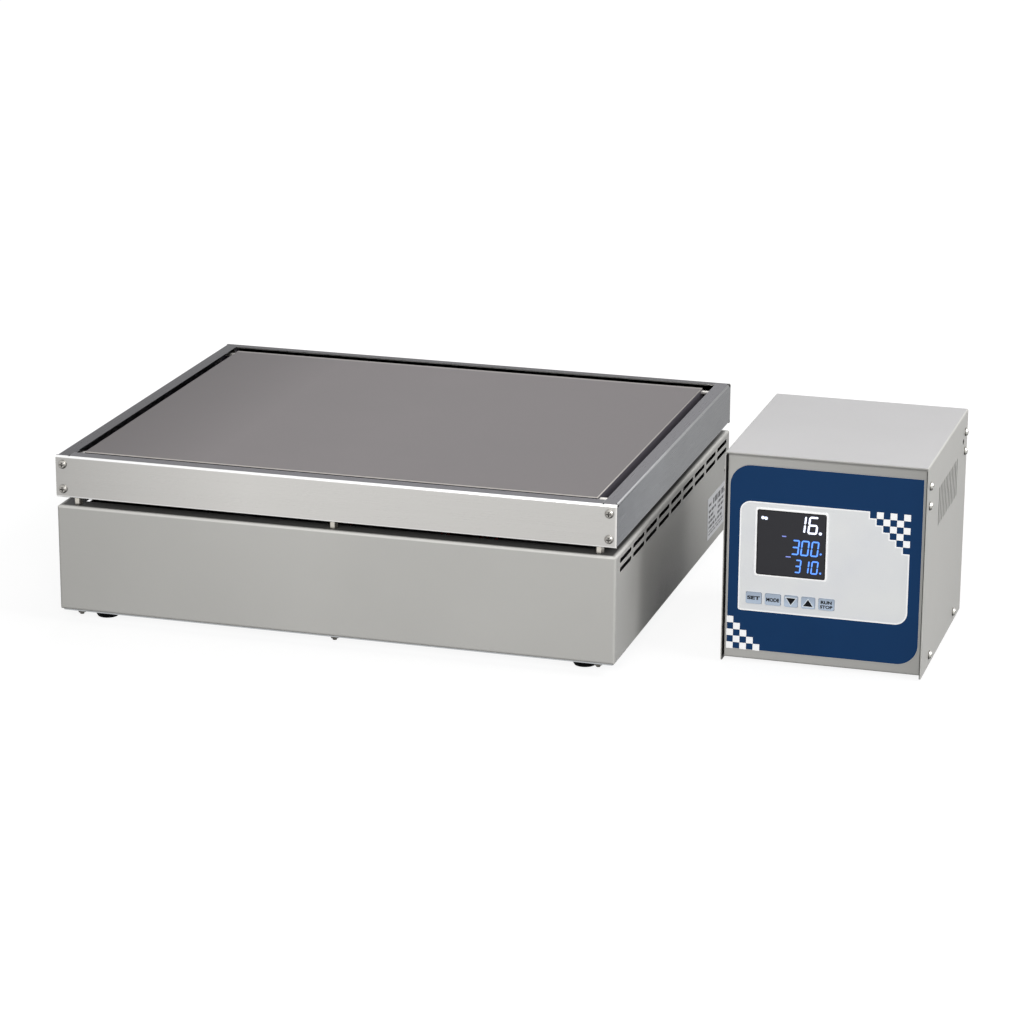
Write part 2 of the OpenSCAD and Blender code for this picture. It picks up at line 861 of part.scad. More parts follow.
module heat_shield() {
    color("#a9abad") at_heater() difference() {
        translate([-unit_w / 2 + shield_inset_x, shield_inset_y, flange_top])
            cube([unit_w - 2 * shield_inset_x, unit_d - 2 * shield_inset_y, shield_t]);
        holes_at(rod_places, rod_d + 2 * loose, flange_top, shield_top);
        holes_at(lead_places, lead_hole_d, flange_top, shield_top);
        holes_at([[probe_x, unit_d / 2]], probe_d + 2 * loose, flange_top, shield_top);
    }
}

module insulation_board() {
    color("#e9e4d6") at_heater() difference() {
        translate([-insulation_w / 2, (unit_d - insulation_d) / 2, shield_top])
            cube([insulation_w, insulation_d, clamp_z0 - shield_top]);
        holes_at(lead_places, lead_hole_d, shield_top, clamp_z0);
        holes_at([[probe_x, unit_d / 2]], lead_hole_d, shield_top, clamp_z0);
        holes_at(bolt_places, bolt_pocket_d, clamp_z0 - bolt_head_h, clamp_z0);
    }
}

module clamp_plate() {
    color("#9c9fa2") at_heater() difference() {
        translate([-clamp_w / 2, (unit_d - clamp_d) / 2, clamp_z0]) cube([clamp_w, clamp_d, clamp_t]);
        holes_at(bolt_places, bolt_d + 2 * loose, clamp_z0, mica_z0);
        holes_at(lead_places, lead_hole_d, clamp_z0, mica_z0);
        holes_at([[probe_x, unit_d / 2]], lead_hole_d, clamp_z0, mica_z0);
    }
}

module clamp_bolts() {
    color("#b9bbbd") at_heater() for (p = bolt_places) translate([p.x, p.y, clamp_z0]) {
        translate([0, 0, -bolt_head_h]) cylinder(d = bolt_head_af / cos(30), h = bolt_head_h, $fn = 6);
        cylinder(d = bolt_d, h = clamp_t + mica_t + bolt_tap);
    }
}

// Front and rear heating elements, with the middle row of bolts between them
module mica_heaters() {
    color("#b79b6a") at_heater() for (s = [0, 1]) difference() {
        translate([-mica_w / 2, unit_d / 2 + (s > 0 ? mica_gap / 2 : -mica_gap / 2 - mica_d), mica_z0])
            cube([mica_w, mica_d, mica_t]);
        holes_at(bolt_places, bolt_d + 2 * loose, mica_z0, plate_z0);
    }
}

// Outline of the plate seen from one side, chamfered at the top
module plate_profile(w) {
    polygon([
        [-w / 2, plate_z0], [w / 2, plate_z0], [w / 2, plate_top - plate_chamfer],
        [w / 2 - plate_chamfer, plate_top], [-w / 2 + plate_chamfer, plate_top],
        [-w / 2, plate_top - plate_chamfer]
    ]);
}

module top_plate() {
    slot_h = bracket_t + slip;
    slot_w = bracket_w + 2 * slip;
    color("#86817f") at_heater() difference() {
        intersection() {
            translate([-plate_shift, unit_d / 2, 0])
                upright(-plate_d / 2, plate_d / 2) plate_profile(plate_w);
            translate([-plate_shift, unit_d / 2, 0])
                sideways(-plate_w / 2, plate_w / 2) plate_profile(plate_d);
        }
        for (p = bolt_places)
            translate([p.x, p.y, plate_z0 - overrun])
                cylinder(d = bolt_d + 2 * thread_play, h = bolt_tap + overrun);
        translate([probe_x, unit_d / 2, plate_z0 - overrun])
            cylinder(d = probe_d + 2 * probe_play, h = probe_depth + overrun);
        for (p = bracket_places)
            translate([p[0] > 0 ? plate_w / 2 - plate_shift - tongue_reach - slip
                                : -plate_w / 2 - plate_shift - overrun,
                       p[1] - slot_w / 2, tongue_top - slot_h])
                cube([tongue_reach + slip + overrun, slot_w, slot_h]);
    }
}

// One bracket, bent from strip, with its tongue in the plate's slot. It is drawn for the right side;
// side is 1 there and -1 on the left, where the plate's edge is nearer to the wall
module bracket(side) {
    wall_x = unit_w / 2 - sheet_t;
    tongue_x = plate_w / 2 - side * plate_shift - tongue_reach;
    upright(-bracket_w / 2, bracket_w / 2) {
        translate([wall_x - bracket_foot_w, flange_top])
            square([bracket_foot_w - bracket_bend, bracket_t]);
        intersection() {
            translate([wall_x - bracket_bend, flange_top + bracket_bend]) circle(bracket_bend);
            translate([wall_x - bracket_bend, flange_top]) square([bracket_bend, bracket_bend]);
        }
        translate([wall_x - bracket_t, flange_top + bracket_bend])
            square([bracket_t, tongue_top - flange_top - bracket_bend]);
        translate([tongue_x, tongue_top - bracket_t])
            square([wall_x - tongue_x, bracket_t]);
    }
}

module plate_brackets() {
    color("#d9d7d2") at_heater() for (p = bracket_places)
        translate([0, p[1], 0]) mirror([p[0] > 0 ? 0 : 1, 0, 0]) bracket(p[0]);
}

module thermocouple() {
    color("#c2c2c0") at_heater() translate([probe_x, unit_d / 2, 0]) {
        translate([0, 0, probe_z0]) cylinder(d = probe_d, h = plate_z0 + probe_depth - probe_z0);
        translate([0, 0, flange_top - probe_flange_h]) cylinder(d = probe_flange_d, h = probe_flange_h);
    }
}

module overheat_thermostat() {
    body_z0 = flange_top - thermostat_flange_t - thermostat_h;
    color("#3a3a3c") at_heater() translate([thermostat_x, unit_d / 2, 0]) {
        translate([-thermostat_flange_w / 2, -thermostat_d / 2, flange_top - thermostat_flange_t])
            cube([thermostat_flange_w, thermostat_d, thermostat_flange_t]);
        translate([0, 0, body_z0]) cylinder(d = thermostat_d, h = thermostat_h);
        for (s = [-1, 1])
            translate([s * tab_dx - tab_t / 2, -tab_w / 2, body_z0 - tab_len]) cube([tab_t, tab_w, tab_len]);
    }
}

// Inverted U of a given outside width and height, standing on z = 0 about x = 0
module arch_shape(w, h, r) {
    translate([-w / 2, 0]) square([w, h - r]);
    translate([-w / 2 + r, 0]) square([w - 2 * r, h]);
    for (s = [-1, 1])
        translate([s * (w / 2 - r), h - r]) circle(r);
}

module cover() {
    color("#c6c5c0") at_controller() difference() {
        translate([ctl_w / 2, 0, cover_z0]) upright(0, ctl_d) arch_shape(ctl_w, cover_h, cover_bend);
        translate([ctl_w / 2, 0, cover_z0]) upright(-overrun, ctl_d + overrun) translate([0, -overrun])
            arch_shape(ctl_w - 2 * cover_t, cover_h - cover_t + overrun, cover_inner_r);
        for (i = [0 : louvre_count - 1])
            translate([0, louvre_y + (i - (louvre_count - 1) / 2) * louvre_pitch, louvre_z])
                sideways(-overrun, ctl_w + overrun) rotate(90) slot_shape(louvre_h, louvre_w);
        translate([0, ctl_d - hook_slot_y, hook_slot_z])
            sideways(-overrun, ctl_w + overrun) slot_shape(hook_slot_w, hook_slot_h);
        for (p = cover_screw_places)
            translate([-overrun, p[0], p[1]]) rotate([0, 90, 0])
                cylinder(d = screw_d + 2 * loose, h = ctl_w + 2 * overrun);
    }
}

// Threaded holes for the cover's screws, through whatever flange lies under them
module cover_thread_holes() {
    for (p = cover_screw_places)
        translate([-overrun, p[0], p[1]]) rotate([0, 90, 0])
            cylinder(d = screw_d + 2 * thread_play, h = ctl_w + 2 * overrun);
}

module cover_screws() {
    color("#d6d6d3") at_controller() for (p = cover_screw_places) {
        translate([ctl_w, p[0], p[1]]) rotate([0, 90, 0]) pan_screw(cover_screw_len);
        translate([0, p[0], p[1]]) rotate([0, -90, 0]) pan_screw(cover_screw_len);
    }
}

module chassis() {
    color("#a5a7a8") at_controller() difference() {
        union() {
            translate([cover_t + panel_t + chassis_gap, panel_back + chassis_gap, chassis_z0])
                cube([panel_w - 2 * (panel_t + chassis_gap),
                      rear_back - panel_back - 2 * chassis_gap, chassis_t]);
            translate([cover_t, chassis_flange_y0, chassis_z0])
                cube([panel_w, ctl_d - 2 * chassis_flange_y0, chassis_t]);
            for (x = [cover_t, ctl_w - cover_t - chassis_t])
                translate([x, chassis_flange_y0, chassis_z0])
                    cube([chassis_t, ctl_d - 2 * chassis_flange_y0, chassis_flange_h]);
        }
        cover_thread_holes();
    }
}

// Folded tray with flanges on four sides, its face on y = panel_recess
module panel_tray() {
    tray_h = panel_z1 - panel_z0;
    difference() {
        translate([ctl_w / 2, panel_recess, panel_z0]) half_tray(panel_w, tray_h, panel_flange, panel_bend);
        translate([ctl_w / 2, panel_back, panel_z0 + panel_t])
            half_tray(panel_w - 2 * panel_t, tray_h - 2 * panel_t, panel_flange, panel_bend - panel_t);
    }
}

// Block with every edge round but those at the back, its face on y = 0
module half_tray(w, h, d, r) {
    intersection() {
        translate([0, 0, h / 2]) upright(0, d) soft_rect(w, h, r);
        translate([0, d, 0]) linear_extrude(h) soft_rect(w, 2 * d, r);
        translate([0, d, h / 2]) sideways(-w / 2, w / 2) soft_rect(2 * d, h, r);
    }
}

// Shape of a key as seen from the front, larger all round by a margin
module key_shape(i, margin) {
    translate([key_x(i), key_z]) soft_rect(key_widths[i] + 2 * margin, key_h + 2 * margin, key_r);
}

// Holes for the window and the keys
module front_holes() {
    translate([window_x, window_z]) soft_rect(window_w + 2 * slip, window_h + 2 * slip, window_r);
    for (i = [0 : len(key_widths) - 1])
        key_shape(i, key_gap);
}

module front_panel() {
    color("#b2b1ac") at_controller() difference() {
        panel_tray();
        upright(panel_recess - overrun, panel_back + overrun) front_holes();
        cover_thread_holes();
    }
}

module rear_panel() {
    color("#b2b1ac") at_controller() difference() {
        translate([0, ctl_d, 0]) mirror([0, 1, 0]) panel_tray();
        upright(rear_back - overrun, rear_face + overrun) {
            translate([rear_col_x, inlet_z])
                square([inlet_body_w + 2 * slip, inlet_body_h + 2 * slip], center = true);
            translate([rear_col_x, switch_z])
                square([switch_body_w + 2 * slip, switch_body_h + 2 * slip], center = true);
            translate([rear_col_x, fuse_z]) circle(d = fuse_body_d + 2 * loose);
            translate([outlet_x, outlet_z]) circle(d = socket_d + 2 * loose);
            translate([jack_x, outlet_z]) circle(d = jack_d + 2 * loose);
        }
        cover_thread_holes();
    }
}

module controller_feet() {
    color("#2b2b2d") at_controller()
        for (x = [ctl_foot_inset_x, ctl_w - ctl_foot_inset_x],
             y = [ctl_foot_inset_y, ctl_d - ctl_foot_inset_y])
            translate([x, y, 0]) cylinder(d = ctl_foot_d, h = ctl_foot_h);
}

// What lies outside a quarter round of radius r, in the quarter of +X and +Y
module corner_trim(r) {
    difference() {
        square([r + overrun, r + overrun]);
        circle(r);
    }
}

module overlay() {
    arc_x = overlay_w / 2 - overlay_r;
    arc_z = overlay_h / 2 - overlay_r;
    color("#1b385f") at_controller() upright(panel_recess - overlay_t, panel_recess) difference() {
        translate([ctl_w / 2, overlay_z]) difference() {
            square([overlay_w, overlay_h], center = true);
            translate([-arc_x, arc_z]) rotate(90) corner_trim(overlay_r);
            translate([arc_x, -arc_z]) rotate(-90) corner_trim(overlay_r);
        }
        front_holes();
    }
}

// Light facia: three round corners, and the fourth stepped where the checker pattern starts
module facia_shape() {
    half_w = facia_w / 2;
    half_h = facia_h / 2;
    difference() {
        square([facia_w, facia_h], center = true);
        translate([-half_w + facia_r_top, half_h - facia_r_top]) rotate(90) corner_trim(facia_r_top);
        translate([-half_w + facia_r_left, -half_h + facia_r_left]) rotate(180) corner_trim(facia_r_left);
        translate([half_w - facia_r_right, -half_h + facia_r_right]) rotate(-90) corner_trim(facia_r_right);
        for (row = [0 : checker_steps - 1])
            translate([half_w - (checker_steps - row) * checker_cell, half_h - (row + 1) * checker_cell])
                square([(checker_steps - row) * checker_cell + overrun, checker_cell + overrun]);
    }
}

module facia() {
    color("#d5d9dc") at_controller() upright(facia_y0, facia_y0 + facia_t) difference() {
        translate([facia_x, facia_z]) facia_shape();
        front_holes();
    }
}

module display_bezel() {
    color("#dfe2e4") at_controller() upright(facia_y0 - bezel_t, facia_y0) translate([window_x, window_z])
        difference() {
            soft_rect(window_w + 2 * (slip + bezel_w), window_h + 2 * (slip + bezel_w), window_r);
            soft_rect(window_w + 2 * slip, window_h + 2 * slip, window_r);
        }
}

module display_window() {
    color("#343335") at_controller() {
        upright(facia_y0 - bezel_t + window_drop, panel_back + window_flange_t)
            translate([window_x, window_z]) soft_rect(window_w, window_h, window_r);
        upright(panel_back, panel_back + window_flange_t) translate([window_x, window_z])
            soft_rect(window_w + 2 * (slip + window_flange), window_h + 2 * (slip + window_flange), window_r);
    }
}

module digit_module() {
    color("#1f2022") at_controller() upright(panel_back + window_flange_t, module_back)
        translate([window_x, window_z])
            square([window_w - 2 * module_margin, window_h - 2 * module_margin], center = true);
}

module display_board() {
    color("#2f6b45") at_controller() upright(module_back, module_back + board_t)
        translate([board_x0, board_z0]) square([board_x1 - board_x0, board_z1 - board_z0]);
}

// One key: a cap through the panel and a flange that the panel holds back
module front_key(i) {
    at_controller() {
        upright(facia_y0 - key_proud, key_back) key_shape(i, 0);
        upright(key_back - key_flange_t, key_back) key_shape(i, key_flange);
    }
}

module key_set() { color("#afbecd") front_key(0); }
module key_mode() { color("#afbecd") front_key(1); }
module key_down() { color("#afbecd") front_key(2); }
module key_up() { color("#afbecd") front_key(3); }
module key_run() { color("#afbecd") front_key(4); }

module key_switches() {
    color("#47484b") at_controller() for (i = [0 : len(key_widths) - 1]) {
        upright(module_back - tact_h, module_back)
            translate([key_x(i), key_z]) square([tact_w, tact_w], center = true);
        upright(tact_tip, module_back - tact_h) translate([key_x(i), key_z]) circle(d = tact_stem_d);
    }
}

// Hex spacers under both boards
module board_spacers() {
    spacer_r = spacer_hex_af / 2 / cos(30);
    color("#b89a4e") at_controller() {
        for (x = [board_x0 + board_inset, board_x1 - board_inset],
             z = [board_z0 + board_inset, board_z1 - board_inset])
            out_of_rear(x, panel_back, z) cylinder(r = spacer_r, h = module_back - panel_back, $fn = 6);
        for (x = [control_x0 + board_inset, control_x0 + control_w - board_inset],
             y = [control_y0 + board_inset, control_y0 + control_d - board_inset])
            translate([x, y, chassis_top]) cylinder(r = spacer_r, h = control_lift, $fn = 6);
    }
}

module control_board() {
    color("#2f6b45") at_controller() translate([control_x0, control_y0, control_z])
        cube([control_w, control_d, board_t]);
}

module board_parts() {
    color("#3d4348") at_controller() translate([control_x0, control_y0, control_top]) {
        for (i = [0, 1])
            translate([capacitor_x, capacitor_y + i * capacitor_step, 0])
                cylinder(d = capacitor_d, h = capacitor_h);
        for (i = [0, 1])
            translate([small_relay_x, small_relay_y + i * small_relay_step, 0]) cube(small_relay);
        translate([chip_x, chip_y, 0]) cube(chip);
        translate([header_x, control_d - header_inset - header_block.y, 0]) cube(header_block);
    }
}

module transformer_core() {
    color("#55585b") at_controller() translate([transformer_x, transformer_y, chassis_top]) difference() {
        translate([-core_w / 2, -core_d / 2, 0]) cube([core_w, core_d, core_h]);
        for (s = [-1, 1])
            translate([s * (core_leg + core_window_w / 2) - core_window_w / 2,
                       -core_d / 2 - overrun, core_leg])
                cube([core_window_w, core_d + 2 * overrun, core_h - 2 * core_leg]);
    }
}

module transformer_coil() {
    coil_w = 2 * (core_leg + core_window_w - coil_play);
    coil_h = core_h - 2 * (core_leg + coil_play);
    color("#a8622c") at_controller()
        translate([transformer_x, transformer_y, chassis_top + core_leg + coil_play]) difference() {
            translate([-coil_w / 2, -coil_d / 2, 0]) cube([coil_w, coil_d, coil_h]);
            translate([-core_leg - coil_play, -core_d / 2 - coil_play, -overrun])
                cube([2 * (core_leg + coil_play), core_d + 2 * coil_play, coil_h + 2 * overrun]);
        }
}

module heat_sink() {
    fin_step = (sink_w - fin_t) / (fin_count - 1);
    color("#9a9da0") at_controller() translate([sink_x0, sink_y0, chassis_top]) linear_extrude(sink_h) {
        square([sink_base_t, sink_w]);
        for (i = [0 : fin_count - 1])
            translate([0, i * fin_step]) square([sink_base_t + fin_len, fin_t]);
    }
}

module relay() {
    color("#e0ddd4") at_controller()
        translate([sink_x0 - relay_t, sink_y0 + (sink_w - relay_w) / 2, chassis_top + relay_z])
            cube([relay_t, relay_w, relay_h]);
}

module terminal_strip() {
    way = (strip_w - rib_t) / strip_ways;
    color("#303134") at_controller() translate([strip_x0, strip_y0, chassis_top]) {
        cube([strip_w, strip_d, strip_h]);
        for (i = [0 : strip_ways])
            translate([i * way, 0, 0]) cube([rib_t, strip_d, strip_h + rib_h]);
        for (i = [0 : strip_ways - 1])
            translate([(i + 0.5) * way + rib_t / 2, strip_d / 2, 0])
                cylinder(d = strip_screw_d, h = strip_h + strip_screw_h);
    }
}

module fuse_holder() {
    color("#232426") at_controller() out_of_rear(rear_col_x, rear_face, fuse_z) difference() {
        union() {
            translate([0, 0, -fuse_body_len]) cylinder(d = fuse_body_d, h = fuse_body_len);
            cylinder(d = fuse_flange_d, h = fuse_flange_t);
            cylinder(d = fuse_cap_d, h = fuse_flange_t + fuse_cap_len);
        }
        translate([-fuse_cap_d / 2 - overrun, -fuse_slot_w / 2,
                   fuse_flange_t + fuse_cap_len - fuse_slot_depth])
            cube([fuse_cap_d + 2 * overrun, fuse_slot_w, fuse_slot_depth + overrun]);
    }
}

module mains_inlet() {
    mouth = inlet_flange_t;
    floor_z = mouth - inlet_cavity_depth;
    color("#1e1f21") at_controller() out_of_rear(rear_col_x, rear_face, inlet_z) {
        difference() {
            union() {
                linear_extrude(inlet_flange_t) square([inlet_flange_w, inlet_flange_h], center = true);
                translate([0, 0, mouth - inlet_body_depth]) linear_extrude(inlet_body_depth)
                    square([inlet_body_w, inlet_body_h], center = true);
            }
            translate([0, 0, floor_z]) linear_extrude(inlet_cavity_depth + overrun)
                square([inlet_cavity_w, inlet_cavity_h], center = true);
        }
        for (s = [-1, 0, 1])
            translate([s * blade_dx, s == 0 ? -blade_rise : blade_rise, floor_z]) linear_extrude(blade_len)
                square([blade_w, blade_h], center = true);
    }
}

// Connectors on the controller's rear panel
module heater_outlet() {
    color("#bcbcba") at_controller() out_of_rear(outlet_x, rear_face, outlet_z) socket_shell();
}

module outlet_insert() {
    color("#2a2a2c") at_controller() out_of_rear(outlet_x, rear_face, outlet_z) socket_insert();
}

module sensor_socket() {
    color("#cfc9a8") at_controller() out_of_rear(jack_x, rear_face, outlet_z) round_jack();
}

module power_switch() {
    color("#1e1f21") at_controller() out_of_rear(rear_col_x, rear_face, switch_z) difference() {
        union() {
            linear_extrude(switch_flange_t) square([switch_flange_w, switch_flange_h], center = true);
            translate([0, 0, -switch_body_depth]) linear_extrude(switch_body_depth)
                square([switch_body_w, switch_body_h], center = true);
        }
        translate([0, 0, switch_flange_t - pocket_depth]) linear_extrude(pocket_depth + overrun)
            square([pocket_w, pocket_h], center = true);
        translate([-pocket_w / 2 - rocker_pin_grip, 0, switch_flange_t - rocker_axis_depth])
            rotate([0, 90, 0])
                cylinder(d = rocker_pin_d + 2 * thread_play, h = pocket_w + 2 * rocker_pin_grip);
    }
}

// Rocker about its pin, which lies along X; the upper end is pressed in
module power_rocker() {
    pin_len = pocket_w + 2 * (rocker_pin_grip - thread_play);
    color("#b3261e") at_controller()
        translate([rear_col_x, rear_face + switch_flange_t - rocker_axis_depth, switch_z])
        rotate([rocker_angle, 0, 0]) {
            sideways(-rocker_w / 2, rocker_w / 2) polygon([
                [-rocker_back, -rocker_len / 2], [rocker_nose, -rocker_len / 2], [rocker_valley, 0],
                [rocker_nose, rocker_len / 2], [-rocker_back, rocker_len / 2]
            ]);
            sideways(-pin_len / 2, pin_len / 2) circle(d = rocker_pin_d);
        }
}

base_casing();
base_bottom();
rubber_feet();
foot_screws();
tie_rods();
hex_spacers();
unit_nuts();
rating_plate();
terminal_block();
unit_wiring();
heater_inlet();
inlet_insert();
sensor_jack();
frame_left();
frame_right();
frame_front();
frame_rear();
frame_screws();
heat_shield();
insulation_board();
clamp_plate();
clamp_bolts();
mica_heaters();
top_plate();
plate_brackets();
thermocouple();
overheat_thermostat();
cover();
chassis();
front_panel();
rear_panel();
cover_screws();
controller_feet();
overlay();
facia();
display_bezel();
display_window();
digit_module();
display_board();
key_set();
key_mode();
key_down();
key_up();
key_run();
key_switches();
board_spacers();
control_board();
board_parts();
transformer_core();
transformer_coil();
heat_sink();
relay();
terminal_strip();
fuse_holder();
power_switch();
power_rocker();
mains_inlet();
heater_outlet();
outlet_insert();
sensor_socket();
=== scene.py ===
"""Looks of the bench hot plate: a heating unit with a large plate, and its controller beside it.

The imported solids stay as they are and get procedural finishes. Print, digits and legends
are separate thin pieces that lie on the solids.
"""

import math

import bmesh
import bpy
from mathutils import Matrix, Vector


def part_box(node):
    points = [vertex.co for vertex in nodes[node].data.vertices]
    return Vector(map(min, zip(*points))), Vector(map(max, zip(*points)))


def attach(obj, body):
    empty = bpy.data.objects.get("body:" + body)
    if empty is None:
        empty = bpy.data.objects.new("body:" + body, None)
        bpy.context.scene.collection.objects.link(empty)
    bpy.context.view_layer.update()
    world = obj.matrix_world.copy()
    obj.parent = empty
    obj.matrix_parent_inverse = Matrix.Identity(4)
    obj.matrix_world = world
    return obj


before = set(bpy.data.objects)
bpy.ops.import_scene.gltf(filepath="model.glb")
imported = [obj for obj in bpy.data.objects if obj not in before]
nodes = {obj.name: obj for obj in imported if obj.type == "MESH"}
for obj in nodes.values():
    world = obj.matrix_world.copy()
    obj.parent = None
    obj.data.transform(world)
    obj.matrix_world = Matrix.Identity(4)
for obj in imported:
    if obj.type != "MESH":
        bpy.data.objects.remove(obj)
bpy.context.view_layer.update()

MM = 0.001
HEATER = "heating_unit"
CONTROLLER = "controller"

# Corners of the two units, from the solids themselves
unit_lo, unit_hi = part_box("base_casing")
cover_lo, cover_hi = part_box("cover")
overlay_lo, overlay_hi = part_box("overlay")
facia_lo, facia_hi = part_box("facia")
bezel_lo, bezel_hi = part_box("display_bezel")
plate_lo, plate_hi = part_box("top_plate")
label_lo, label_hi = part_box("rating_plate")
frame_lo, frame_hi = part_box("frame_front")[0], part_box("frame_rear")[1]
unit_w, unit_d = unit_hi.x - unit_lo.x, unit_hi.y - unit_lo.y
cover_w, cover_d = cover_hi.x - cover_lo.x, cover_hi.y - cover_lo.y
plate_w, plate_d = plate_hi.x - plate_lo.x, plate_hi.y - plate_lo.y

# Levels between which most of a noise lies
NOISE_LO, NOISE_HI = 0.3, 0.7

# Shortest rise of a mask, in metres
HAIR = 0.0001

# Axis of a part's own normal, and its component where a mask starts and where it is full
FRONT_FACE = ("Y", -0.4, -0.8)
RIGHT_FACE = ("X", 0.4, 0.8)
TOP_FACE = ("Z", 0.9, 0.99)
UNDERSIDE = ("Z", -0.1, -0.4)
UPRIGHT = ("Z", 0.3, 0.15)


# Small helpers

def srgb(r, g, b):
    """Linear colour of an 8-bit screen colour."""
    def lin(c):
        c /= 255
        return c / 12.92 if c <= 0.04045 else ((c + 0.055) / 1.055) ** 2.4
    return (lin(r), lin(g), lin(b), 1.0)


def tint(colour, k):
    """The colour made lighter or darker by a factor."""
    return tuple(min(1.0, c * k) for c in colour[:3]) + (1.0,)


def stops(start, *steps):
    """Stops of a ramp, from steps that are each a distance from the start, in metres, and a level."""
    return [(start + distance, level) for distance, level in steps]


class Finish:
    """A node material made step by step round one Principled shader."""

    def __init__(self, name):
        self.material = bpy.data.materials.new(name)
        self.material.use_nodes = True
        self.tree = self.material.node_tree
        self.shader = self.tree.nodes["Principled BSDF"]
        own = self.add("ShaderNodeTexCoord")
        self.place = own.outputs["Object"]
        self.height = None
        self.at = self.add("ShaderNodeSeparateXYZ")
        self.join(self.place, self.at.inputs[0])
        self.facing = self.add("ShaderNodeSeparateXYZ")
        self.join(own.outputs["Normal"], self.facing.inputs[0])

    def add(self, kind, **values):
        """New node with its own settings and the constants of its inputs."""
        node = self.tree.nodes.new(kind)
        for key, value in values.items():
            if hasattr(node, key):
                setattr(node, key, value)
            else:
                node.inputs[key.replace("_", " ")].default_value = value
        return node

    def join(self, out, socket):
        self.tree.links.new(out, socket)

    def fixed(self, **values):
        """Constants straight on the shader's own sockets."""
        for key, value in values.items():
            self.shader.inputs[key.replace("_", " ")].default_value = value
        return self

    def scaled(self, x, y, z):
        """Object coordinates stretched along the axes, for grain that runs one way."""
        node = self.add("ShaderNodeMapping", vector_type="POINT")
        node.inputs["Scale"].default_value = (x, y, z)
        self.join(self.place, node.inputs["Vector"])
        return node.outputs["Vector"]

    def noise(self, scale, detail=2.0, roughness=0.5, vector=None):
        node = self.add("ShaderNodeTexNoise")
        node.inputs["Scale"].default_value = scale
        node.inputs["Detail"].default_value = detail
        node.inputs["Roughness"].default_value = roughness
        self.join(vector or self.place, node.inputs["Vector"])
        return node.outputs["Fac"]

    def spread(self, value, lo=NOISE_LO, hi=NOISE_HI, to_lo=0.0, to_hi=1.0):
        """The value between lo and hi, mapped onto to_lo to to_hi and held beyond them."""
        node = self.add("ShaderNodeMapRange")
        for key, number in zip(("From Min", "From Max", "To Min", "To Max"), (lo, hi, to_lo, to_hi)):
            node.inputs[key].default_value = number
        self.join(value, node.inputs["Value"])
        return node.outputs["Result"]

    def maths(self, operation, a, b):
        node = self.add("ShaderNodeMath", operation=operation)
        for socket, value in zip(node.inputs, (a, b)):
            if isinstance(value, (int, float)):
                socket.default_value = value
            else:
                self.join(value, socket)
        return node.outputs["Value"]

    def times(self, *values):
        """Product of masks and numbers."""
        out = values[0]
        for value in values[1:]:
            out = self.maths("MULTIPLY", out, value)
        return out

    def blend(self, factor, a, b, mode="MIX"):
        """Colour a where factor is 0 and b where it is 1; either may be a link."""
        node = self.add("ShaderNodeMix", data_type="RGBA", blend_type=mode)
        for name, value in (("Factor_Float", factor), ("A_Color", a), ("B_Color", b)):
            socket = next(s for s in node.inputs if s.identifier == name)
            if isinstance(value, (tuple, float, int)):
                socket.default_value = value
            else:
                self.join(value, socket)
        return next(s for s in node.outputs if s.identifier == "Result_Color")

    def mottle(self, pattern, colour, variation, lo=NOISE_LO):
        """The colour, darker by the variation where the pattern is low and lighter where it is high."""
        darker, lighter = tint(colour, 1 - variation), tint(colour, 1 + variation)
        return self.blend(self.spread(pattern, lo), darker, lighter)

    def toned(self, base, axis, tone):
        """The base, made darker or lighter by a ramp along an axis."""
        return self.blend(1.0, base, self.ramp(axis, tone), "MULTIPLY")

    def colour(self, out):
        self.join(out, self.shader.inputs["Base Color"])
        return self

    def rough(self, value, lo, hi):
        """Roughness that goes from lo to hi with a noise."""
        self.join(self.spread(value, to_lo=lo, to_hi=hi), self.shader.inputs["Roughness"])
        return self

    def bump(self, value, depth):
        """Adds relief, in metres from valley to peak."""
        node = self.add("ShaderNodeBump")
        node.inputs["Strength"].default_value = 1.0
        node.inputs["Distance"].default_value = depth
        self.join(value, node.inputs["Height"])
        if self.height is not None:
            self.join(self.height, node.inputs["Normal"])
        self.height = node.outputs["Normal"]
        self.join(self.height, self.shader.inputs["Normal"])
        return self

    def edges(self, radius):
        """Mask that is 1 on edges within the radius, for edges painted paler or darker: partly wear, partly
        a painted highlight or shade.
        """
        soft = self.add("ShaderNodeBevel", samples=4)
        soft.inputs["Radius"].default_value = radius
        plain = self.add("ShaderNodeNewGeometry")
        dot = self.add("ShaderNodeVectorMath", operation="DOT_PRODUCT")
        self.join(soft.outputs["Normal"], dot.inputs[0])
        self.join(plain.outputs["Normal"], dot.inputs[1])
        return self.spread(dot.outputs["Value"], 0.99, 0.86)

    def gap_shade(self, distance, low=0.25, high=0.8):
        """Mask that is 1 deep in gaps and corners, where shade is painted in as darker colour."""
        node = self.add("ShaderNodeAmbientOcclusion", samples=6)
        node.inputs["Distance"].default_value = distance
        return self.spread(node.outputs["AO"], low, high, 1.0, 0.0)

    def turned(self, axis, lo, hi):
        """Mask from the part's own normal, 0 to 1 as its component goes from lo to hi."""
        return self.spread(self.facing.outputs[axis], lo, hi)

    def bend(self):
        """Mask that is 1 on the bend between an upright wall and the sheet on top of it."""
        return self.times(self.turned("Z", 0.12, 0.4), self.turned("Z", 0.985, 0.9))

    def past(self, *limits):
        """Mask that is 1 beyond every limit: an axis, a place in metres, and the rise's way and length."""
        masks = []
        for axis, place, rise in limits:
            masks.append(self.spread(self.at.outputs[axis], place, place + rise))
        return self.times(*masks)

